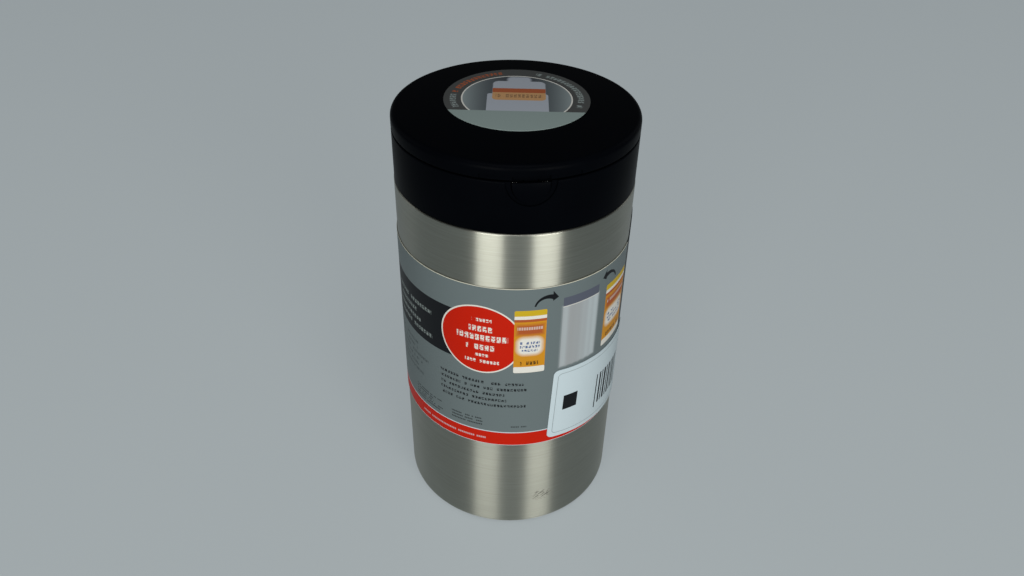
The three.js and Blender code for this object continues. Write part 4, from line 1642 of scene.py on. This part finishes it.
@dataclass(frozen=True)
class Lid:
    """The lid: outer shell with thumb scoop and button notch, and the panel with rim and tongue under it."""

    layout: Layout
    latch: Latch
    hinge: Hinge
    wall: float = 2.0
    edge_round: float = 2.9
    foot_round: float = 0.4
    panel_wall: float = 1.4
    panel_sink: float = 1.8
    rim_wall: float = 1.6
    post_radius: float = 2.6
    post_circle: float = 44.0
    posts: int = 4
    scoop_half: float = math.radians(22)
    scoop_height: float = 2.1
    scoop_depth: float = 0.5
    notch_half: float = 8.5

    @property
    def panel_low(self) -> float:
        """Height of the panel's underside."""
        return self.layout.lid_low + self.panel_sink

    def build(self, plastic: bpy.types.Material) -> None:
        """Makes and dresses the shell and the panel.

        Args:
            plastic: what both are dressed in.
        """
        shell = self.build_shell()
        shell.name = "lid_cap"
        smooth(shell)
        seat(shell, Body.LID, "black_plastic", plastic, "lid_shell")
        panel = self.build_panel()
        panel.name = "lid_lining"
        smooth(panel)
        seat(panel, Body.LID, "black_plastic", plastic, "lid_inner_panel")

    def build_shell(self) -> bpy.types.Object:
        """Makes the outer shell.

        Returns:
            The solid, not yet dressed.
        """
        lay = self.layout
        inner = lay.collar_radius - self.wall
        under = lay.lid_top - self.wall
        shell = lathe("shell", [
            (0, under),
            (inner, under, self.wall / 2),
            (inner, lay.lid_low),
            (lay.collar_radius, lay.lid_low, self.foot_round),
            (lay.collar_radius, lay.lid_top, self.edge_round),
            (0, lay.lid_top),
        ])
        low, high = lay.lid_low - 1, lay.lid_low + self.scoop_height
        combine(shell, extrude("scoop", self.scoop_outline(), Direction.UP, low, high), Join.CUT)
        notch = rectangle(-self.notch_half, self.notch_half, low, high)
        depth = inner - lay.seat_gap / 2
        combine(shell, extrude("notch", notch, Direction.FORWARD, depth, lay.radius + 1), Join.CUT)
        root = (inner + self.wall / 2, lay.lid_low + lay.seat_gap)
        edge = (lay.collar_radius - lay.seat_gap, lay.lid_low + self.hinge.lid_gusset)
        half = self.hinge.lid_half
        combine(shell, self.hinge.knuckle(root, edge, -1, -half, half), Join.ADD)
        combine(shell, self.hinge.pin_hole(), Join.CUT)
        post_low = self.panel_low + self.panel_wall + lay.seat_gap
        for i in range(self.posts):
            turn = 2 * math.pi * (i + 0.5) / self.posts
            post = circle(
                self.post_circle * math.cos(turn), self.post_circle * math.sin(turn), self.post_radius)
            combine(shell, extrude("post", post, Direction.UP, post_low, under + self.wall / 2), Join.ADD)
        return shell

    def scoop_outline(self) -> list[Vector]:
        """Outline of the thumb scoop seen from above: a band that thins the shell's front edge.

        Returns:
            The outline's points in x and y.
        """
        steps = 60
        turns = [-self.scoop_half + 2 * self.scoop_half * k / steps for k in range(steps + 1)]
        outer, inner = self.layout.radius + 1, self.layout.collar_radius - self.scoop_depth
        front = [Vector((outer * math.sin(t), -outer * math.cos(t))) for t in turns]
        back = [Vector((inner * math.sin(t), -inner * math.cos(t))) for t in reversed(turns)]
        return front + back

    def build_panel(self) -> bpy.types.Object:
        """Makes the inner panel with its closing rim and the latch tongue.

        Returns:
            The solid, not yet dressed.
        """
        lay, latch = self.layout, self.latch
        outer = lay.collar_radius - self.wall - lay.seat_gap
        rim_z = lay.collar_top + lay.seat_gap
        high = self.panel_low + self.panel_wall
        panel = lathe("panel", [
            (0, self.panel_low),
            (outer - self.rim_wall, self.panel_low, self.rim_wall / 2),
            (outer - self.rim_wall, rim_z),
            (outer, rim_z),
            (outer, high),
            (0, high),
        ])
        barb_top = latch.down(latch.catch_drop) - lay.seat_gap
        tip = latch.down(latch.tongue_tip_drop)
        tongue = rounded([
            (-latch.tongue, self.panel_low + lay.run_gap),
            (-latch.tongue, tip, latch.tongue_wall / 3),
            (-latch.tongue_back, tip),
            (-latch.barb_depth, barb_top - 2 * lay.run_gap),
            (-latch.barb_depth, barb_top),
            (-latch.tongue_back, barb_top),
            (-latch.tongue_back, lay.collar_top),
            (-latch.tongue_back + latch.barb, self.panel_low + lay.run_gap),
        ])
        half = latch.tongue_width / 2
        combine(panel, extrude("tongue", tongue, Direction.ACROSS, -half, half), Join.ADD)
        return panel


@dataclass(frozen=True)
class WrapLabel:
    """The printed wrap round the can, taller at its front panel."""

    layout: Layout
    gap: float = 0.2
    thickness: float = 0.25
    low: float = 68.8
    top_drop: float = 29.9
    panel_drop: float = 17.9
    panel_from: float = math.radians(71)
    panel_to: float = math.radians(167)
    panel_corner: float = 12.0
    band: tuple[float, float] = (126.5, 157.6)
    foot_band: float = 9.5
    hairline: float = 0.6
    panel_lead: float = 6.0
    badge: tuple[float, float, float] = (-23.1, 141.8, 20.7)
    badge_rim: float = 0.8
    silver: tuple[float, float, float, float, float] = (18.2, 40.0, 122.0, 166.6, 161.3)

    def build(self) -> None:
        """Makes and dresses the wrap."""
        count = 2 * RING_STEPS
        outer = self.layout.radius + self.gap + self.thickness
        top, panel_top = self.layout.steel_top - self.top_drop, self.layout.steel_top - self.panel_drop
        columns = []
        for i in range(count):
            turn = 2 * math.pi * i / count
            inset = min(turn - self.panel_from, self.panel_to - turn) * outer
            high = max(top, panel_top - corner_drop(inset, self.panel_corner)) if inset >= 0 else top
            columns.append((turn, self.low, high))
        sheet = wrapped_sheet("wrap", columns, outer - self.thickness, outer, ring=True)
        smooth(sheet)
        sheet_print = PrintedSheet("wrap_print", GREY, tuple(self.fields()))
        seat(sheet, Body.CANISTER, "wrap_print", sheet_print.build(self.layout.radius), "wrap_label")

    def fields(self) -> list[Field]:
        """The wrap's printed fields from the bottom layer to the top one, with a pale top-edge line that is
        partly the paper's edge and partly a painted highlight.

        Returns:
            The fields and the two arrows.
        """
        reach = math.pi * self.layout.radius
        top = self.layout.steel_top - self.top_drop
        panel_x0, panel_x1 = self.panel_from * self.layout.radius, self.panel_to * self.layout.radius
        foot = self.low + self.foot_band
        x, y, r = self.badge
        ring = r + self.badge_rim
        return [
            # Pale line along the top edge: partly the paper's white cut edge, partly a painted highlight on
            # that edge.
            Field(-reach, reach, top - self.hairline / 2, top, PAPER_EDGE_AND_HIGHLIGHT),
            Field(-reach - 1, x, *self.band, INK),
            Field(panel_x1 - 1, reach + 1, *self.band, INK),
            Field(panel_x0 - self.panel_lead, panel_x1, self.low, self.layout.steel_top, INK),
            Field(-reach, reach, foot - self.hairline, foot + self.hairline, WHITE),
            Field(-reach, reach, self.low, foot, RED),
            Field(-reach, reach, self.low, self.low + self.hairline / 2, WHITE),
            *self.text_lines(),
            Field(x - ring, x + ring, y - ring, y + ring, PLAIN_WHITE, corner=ring),
            Field(x - r, x + r, y - r, y + r, RED, corner=r),
            *self.badge_lines(),
            *self.tub(-6, 9.9, 122, 162),
            *self.tub(46.5, 68.5, 122, 162),
            *self.silver_block(),
            Arrow(10.1, 162.9, 1.0, INK),
            Arrow(47.8, 163.2, -1.0, INK),
        ]

    @staticmethod
    def text_lines() -> list[Field]:
        """Fine rows of short strokes: dark under the badge and at the left, pale on the two bands.

        Returns:
            The fields.
        """
        return [
            Field(-46.3, 2.8, 96.3, 115.8, INK, dash=1.75, pitch=3.9),
            Field(-88, -55, 98, 121.4, INK, dash=1.5, pitch=3.9, strength=0.6),
            Field(-68, -45, 81, 89.9, INK, dash=0.95, pitch=1.78, strength=0.9),
            Field(-39.8, -12, 81.9, 88.2, INK, dash=0.95, pitch=2.1, strength=0.85),
            Field(-6.6, 1.9, 82.5, 83.5, INK, softness=0.35, dash=0.9, strength=0.7),
            Field(-86, -50, 129.5, 150.5, PALE, dash=2.2, pitch=5.25, strength=0.85),
            Field(-62, -20, 72.7, 73.9, WHITE, softness=0.35, dash=1.1, strength=0.6),
        ]

    def badge_lines(self) -> list[Field]:
        """Rows of plain white strokes on the badge.

        Returns:
            The fields.
        """
        x, y, _ = self.badge
        middle = x + 1
        rows = (
            (12.8, 5.0, 0.95, 1.7), (7.2, 6.6, 1.7, 2.7), (1.6, 13.2, 1.8, 2.75), (-4.6, 8.2, 1.7, 2.7),
            (-9.7, 3.6, 0.9, 1.7), (-13.8, 8.9, 1.0, 1.75))
        return [
            Field(
                middle - half, middle + half, y + up - thick, y + up + thick, PLAIN_WHITE,
                softness=0.3, dash=dash)
            for up, half, thick, dash in rows
        ]

    @staticmethod
    def tub(x0: float, x1: float, y0: float, y1: float) -> list[Field]:
        """A plain upright block in warm bands, with a pale bar across it.

        Args:
            x0: the block's left edge.
            x1: its right edge.
            y0: its foot.
            y1: its top.

        Returns:
            The fields.
        """
        height = y1 - y0

        def band(low: float, high: float, colour: Colour, inset: float = 0.0, **looks: float) -> Field:
            """One band, by its share of the block's height."""
            return Field(x0 + inset, x1 - inset, y0 + height * low, y0 + height * high, colour, **looks)

        return [
            band(0, 1, AMBER, corner=1.0),
            band(0.62, 0.78, RUST, 1.2, softness=2.4),
            band(0.7, 0.745, PLAIN_WHITE, 1.6, softness=0.3, dash=1.2, strength=0.55),
            band(0.915, 1, YELLOW, corner=0.8),
            band(0.865, 0.915, PLAIN_WHITE),
            band(0.825, 0.865, RUST),
            band(0, 0.1, PLAIN_WHITE, corner=0.8),
            band(0.3, 0.58, PLAIN_WHITE, 1.6, corner=3.5, softness=2.6),
            band(0.47, 0.51, BLUE, 3.0, softness=0.3, dash=1.6),
            band(0.41, 0.45, BLUE, 3.0, softness=0.3, dash=1.6),
            band(0.35, 0.385, BLUE, 4.0, softness=0.3, dash=1.6),
            band(0.13, 0.19, INK, 3.4, softness=0.3, dash=1.8, strength=0.85),
        ]

    def silver_block(self) -> list[Field]:
        """A plain upright block shaded as a metal tube, with a violet-grey head.

        Returns:
            The fields.
        """
        x0, x1, y0, y1, head = self.silver
        tones = (0.25, 0.0, 0.05, 0.2, 0.4, 0.5)
        width = (x1 - x0) / len(tones)
        strips = [
            Field(
                x0 + k * width, x0 + (k + 1) * width, y0, head, blend_colours(SILVER, WHITE, tone),
                softness=2.4)
            for k, tone in enumerate(tones)
        ]
        return [
            Field(x0, x1, y0, head, SILVER),
            *strips,
            Field(x0, x1, head, y1, VIOLET),
            Field(x0, x1, head - 0.5, head, PLAIN_WHITE, strength=0.7),
        ]


@dataclass(frozen=True)
class BarcodeSticker:
    """The white sticker on the wrap, with a black square and bars."""

    layout: Layout
    gap: float = 0.2
    thickness: float = 0.25
    low: float = 70.4
    high: float = 118.6
    start: float = math.radians(13.4)
    end: float = math.radians(76.8)
    corner: float = 3.0
    lean: float = math.tan(math.radians(2.6))
    frame: float = 2.6
    frame_line: float = 0.3
    square: tuple[float, float, float, float] = (21.7, 30.6, 89.2, 99.4)
    bars_left: float = 45.0
    bars_low: float = 80.5
    bars_high: float = 102.5
    first_bar_low: float = 78.5
    bars: tuple[tuple[float, float], ...] = (
        (0.2, 0.9), (3.0, 1.5), (5.6, 1.0), (7.8, 2.0), (11.0, 1.1), (13.3, 1.9), (16.4, 1.0),
        (18.6, 2.0), (21.8, 1.1), (24.0, 1.4))

    def build(self) -> None:
        """Makes and dresses the sticker."""
        inner = self.layout.radius + 2 * self.gap + self.thickness
        width = (self.end - self.start) * inner
        steps, corner_steps = 90, 10
        turns = (math.pi * k / (2 * corner_steps) for k in range(corner_steps + 1))
        edge = [self.corner * (1 - math.cos(turn)) for turn in turns]
        span = width - 2 * self.corner
        middle = [self.corner + span * k / steps for k in range(1, steps)]
        places = edge + middle + [width - place for place in reversed(edge)]
        columns = []
        for place in places:
            drop = corner_drop(min(place, width - place), self.corner)
            fall = self.lean * (place - width / 2)
            columns.append((self.start + place / inner, self.low + drop - fall, self.high - drop - fall))
        sheet = wrapped_sheet(
            "sticker", columns, inner, inner + self.thickness, ring=False, lean=self.lean / inner)
        smooth(sheet)
        radius = self.layout.radius
        about = ((self.start + self.end) / 2 * radius, (self.low + self.high) / 2)
        sheet_print = PrintedSheet("white_print", WHITE, tuple(self.fields()))
        material = sheet_print.build(radius, self.lean, about)
        seat(sheet, Body.CANISTER, "white_print", material, "barcode_sticker")

    def fields(self) -> list[Field]:
        """The sticker's frame line, square and bars.

        Returns:
            The fields.
        """
        left, right = self.start * self.layout.radius, self.end * self.layout.radius
        frame, within = self.frame, self.frame + self.frame_line
        bars = []
        for number, (x, width) in enumerate(self.bars):
            start = self.bars_left + x
            low = self.bars_low if number else self.first_bar_low
            bars.append(Field(start, start + width, low, self.bars_high, INK, softness=0.2))
        return [
            Field(
                left + frame, right - frame, self.low + frame, self.high - frame, INK,
                corner=2.4, strength=0.6),
            Field(
                left + within, right - within, self.low + within, self.high - within, WHITE, corner=2.1),
            Field(*self.square, INK),
            *bars,
        ]


@dataclass(frozen=True)
class LidLabel:
    """The round printed label on the lid."""

    layout: Layout
    radius: float = 36.0
    centre: tuple[float, float] = (1.2, 7.8)
    turn: float = math.radians(-7.1)
    gap: float = 0.1
    thickness: float = 0.25
    ring: float = 26.8
    ring_line: float = 0.7
    words: float = 31.4
    words_half: float = 1.5
    chord: float = -14.9
    edge: float = 6.0
    disc_dark: Colour = (0.03, 0.037, 0.047)
    disc_light: Colour = (0.19, 0.23, 0.24)
    disc_fade: float = 2.5
    rounding: float = 0.05

    def build(self) -> None:
        """Makes and dresses the label."""
        low = self.layout.lid_top + self.gap
        high = low + self.thickness
        disc = lathe("disc", [
            (0, low), (self.radius, low), (self.radius, high, self.rounding), (0, high)])
        disc.name = "lid_disc"
        disc.data.transform(Matrix.Translation(Vector((*self.centre, 0)) * MM))
        smooth(disc)
        seat(disc, Body.LID, "lid_print", self.material(), "lid_label")

    def material(self) -> bpy.types.Material:
        """Makes the label's print.

        Returns:
            The material.
        """
        sheet = PrintedSheet("lid_print", DARK_GREY, tuple(self.fields()), spread=0.03)
        material, graph, shader = new_material(sheet.name)
        place = graph.use(on_the_lid(), Centre_X=self.centre[0], Centre_Y=self.centre[1], Turn=-self.turn)
        across, up, radius = (place.outputs[key] for key in ("Across", "Up", "Radius"))
        aside = graph.math("DIVIDE", graph.math("ABSOLUTE", across), self.ring, clamp=True)
        inner = graph.mix(graph.math("POWER", aside, self.disc_fade), self.disc_dark, self.disc_light)
        line = graph.above(self.ring + self.ring_line, radius, self.edge)
        disc = graph.above(self.ring, radius, self.edge)
        colour = graph.mix(disc, graph.mix(line, sheet.ground, PLAIN_WHITE), inner)
        round_it = graph.math("MULTIPLY", place.outputs["Turn"], self.words)
        strokes = PrintedSheet(sheet.name, DARK_GREY, self.ring_strokes())
        colour = strokes.print_on(graph, round_it, radius, colour)
        colour = sheet.print_on(graph, across, up, colour)
        sheet.dress(graph, shader, colour)
        return material

    def ring_strokes(self) -> tuple[Field, ...]:
        """Short strokes round the label's dark ring, by millimetres round it and by radius.

        Returns:
            The fields, one for each span of strokes.
        """
        spans = ((-112, -84, PALE), (-80, -14, RUST), (18, 108, PALE))
        low, high = self.words - self.words_half, self.words + self.words_half
        return tuple(
            Field(
                math.radians(start) * self.words, math.radians(end) * self.words, low, high, colour,
                softness=0.4, dash=2.4)
            for start, end, colour in spans
        )

    def fields(self) -> list[Field]:
        """A plain banded block in the middle, and the light segment at the front.

        Returns:
            The fields.
        """
        return [
            Field(-14.7, 15.4, -17, 5, LILAC, corner=1.5),
            Field(-12.2, 14.2, -2.5, 20.5, LILAC, corner=3.5, softness=0.6),
            Field(-12.2, 14.2, -2.5, 7.5, AMBER, corner=2.5, strength=0.75),
            Field(-10.5, 12.5, 0.5, 4.5, INK, softness=0.4, dash=2.0, strength=0.5),
            Field(-12.2, 14.2, 6.5, 11.5, RUST),
            Field(-5, 7, 18, 26, LILAC, corner=3.0, softness=1.5),
            Field(-self.radius - 1, self.radius + 1, -self.radius - 1, self.chord, SAGE),
        ]


def seat(
    piece: bpy.types.Object, body: Body, slot: str, material: bpy.types.Material, node: str,
    rides: bool = True,
) -> None:
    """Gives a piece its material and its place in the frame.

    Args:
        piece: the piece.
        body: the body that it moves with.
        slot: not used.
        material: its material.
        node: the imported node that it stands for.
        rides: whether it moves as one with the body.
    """
    piece.data.materials.clear()
    piece.data.materials.append(material)
    if rides:
        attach(piece, body.value)
    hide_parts(node)
    LOG.info("%s: %d faces in the place of %s", piece.name, len(piece.data.polygons), node)


def dress_kept(
    nodes: dict[str, bpy.types.Object], names: Iterable[str], material: bpy.types.Material
) -> None:
    """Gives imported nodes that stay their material.

    Args:
        nodes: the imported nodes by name.
        names: the nodes that stay.
        material: what they are dressed in.
    """
    for name in names:
        nodes[name].data.materials.clear()
        nodes[name].data.materials.append(material)
        LOG.info("%s: kept and dressed", name)


# Floor, light and camera


@dataclass(frozen=True)
class Lamp:
    """One soft box, in metres, turned to the can."""

    name: str
    azimuth: float
    elevation: float
    distance: float
    width: float
    height: float
    radiance: float
    colour: Colour = (1.0, 1.0, 1.0)

    def build(self, target: Vector) -> None:
        """Makes the lamp, aimed at a target.

        Args:
            target: the place that the lamp faces, in metres.
        """
        light = bpy.data.lights.new(self.name, "AREA")
        light.shape = "RECTANGLE"
        light.size, light.size_y = self.width, self.height
        light.energy = self.radiance * math.pi * self.width * self.height
        light.color = self.colour
        lamp = bpy.data.objects.new(self.name, light)
        turn, lift = math.radians(self.azimuth), math.radians(self.elevation)
        away = Vector((math.sin(turn) * math.cos(lift), -math.cos(turn) * math.cos(lift), math.sin(lift)))
        lamp.location = target + away * self.distance
        lamp.rotation_euler = away.to_track_quat("Z", "Y").to_euler()
        bpy.context.scene.collection.objects.link(lamp)


@dataclass(frozen=True)
class Studio:
    """The plain floor, the soft light and the camera."""

    floor_radius: float = 12.0
    floor_colour: Colour = (0.15, 0.165, 0.168)
    floor_glow: Colour = (0.248, 0.278, 0.292)
    floor_worn: float = 0.97
    floor_patches: float = 1.2
    floor_roughness: float = 0.9
    floor_gloss: float = 0.2
    floor_steps: int = 96
    ambient: Colour = (0.1, 0.105, 0.105)
    aim: tuple[float, float, float] = (0.0, 0.0, 0.12)
    lamps: tuple[Lamp, ...] = (
        Lamp("left_strip", -27, 11, 1.7, 0.66, 0.95, 8.6, (1.0, 0.985, 0.93)),
        Lamp("right_strip", 22, 11, 1.7, 0.68, 0.95, 8.6, (1.0, 0.985, 0.93)),
        Lamp("high_front", -5, 66, 1.7, 1.3, 0.8, 3.1),
        Lamp("back_left", -118, 25, 2.2, 1.0, 1.0, 0.6),
        Lamp("back_right", 118, 25, 2.2, 1.0, 1.0, 0.6),
    )
    camera_place: tuple[float, float, float] = (-0.04648, -0.37316, 0.40994)
    camera_turn: float = math.radians(-7.1)
    camera_tilt: float = math.radians(90 - 36.65)
    camera_roll: float = 0.0237
    lens: float = 29.365

    def build(self) -> None:
        """Makes the floor, the world, the lamps and the camera."""
        self.build_floor()
        self.build_world()
        for lamp in self.lamps:
            lamp.build(Vector(self.aim))
        self.build_camera()
        bpy.context.scene.view_settings.view_transform = "Standard"

    def build_floor(self) -> None:
        """Makes the floor, a matt disc."""
        builder = bmesh.new()
        bmesh.ops.create_circle(
            builder, cap_ends=True, segments=self.floor_steps, radius=self.floor_radius / MM)
        floor = object_from("floor", builder)
        material, graph, shader = new_material("floor_paint")
        marks = graph.use(mottle(), Patch_Scale=self.floor_patches)
        shade = tuple(channel * self.floor_worn for channel in self.floor_colour)
        graph.put(shader.inputs["Base Color"], graph.mix(marks.outputs["Patches"], shade, self.floor_colour))
        shader.inputs["Roughness"].default_value = self.floor_roughness
        shader.inputs["Specular IOR Level"].default_value = self.floor_gloss
        rays = graph.node("ShaderNodeLightPath").outputs
        seen = graph.math("ADD", rays["Is Camera Ray"], rays["Is Glossy Ray"], clamp=True)
        seen = graph.math("ADD", seen, rays["Is Transmission Ray"], clamp=True)
        shader.inputs["Emission Color"].default_value = (*self.floor_glow, 1.0)
        graph.put(shader.inputs["Emission Strength"], seen)
        floor.data.materials.append(material)

    def build_world(self) -> None:
        """Makes the dim, even surroundings."""
        world = bpy.data.worlds.new("surroundings")
        world.use_nodes = True
        world.node_tree.nodes["Background"].inputs["Color"].default_value = (*self.ambient, 1.0)
        bpy.context.scene.world = world

    def build_camera(self) -> None:
        """Makes the camera at the photograph's place."""
        camera = bpy.data.objects.new("camera", bpy.data.cameras.new("camera"))
        camera.data.lens = self.lens
        camera.data.clip_start = 0.01
        camera.matrix_world = (
            Matrix.Translation(self.camera_place) @ Matrix.Rotation(self.camera_turn, 4, "Z")
            @ Matrix.Rotation(self.camera_tilt, 4, "X") @ Matrix.Rotation(self.camera_roll, 4, "Z"))
        bpy.context.scene.collection.objects.link(camera)
        bpy.context.scene.camera = camera


def main() -> None:
    """Builds the canister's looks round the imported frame."""
    logging.basicConfig(level=logging.INFO, format="%(message)s")
    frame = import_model()
    Studio().build()

    layout = Layout.from_frame()
    latch = Latch(layout)
    hinge = Hinge(layout)
    plastic = MouldedPlastic().build()
    metal = SpringWire().build()

    SteelCan(layout).build()
    Collar(layout, latch, hinge).build(plastic)
    PushButton(layout, latch).build(plastic, metal)
    hinge.build(metal)
    Lid(layout, latch, hinge).build(plastic)
    WrapLabel(layout).build()
    BarcodeSticker(layout).build()
    LidLabel(layout).build()
    dress_kept(frame["nodes"], ["latch_cover"], plastic)
    dress_kept(frame["nodes"], ["latch_screw_left", "latch_screw_right"], metal)


if __name__ == "__main__":
    main()
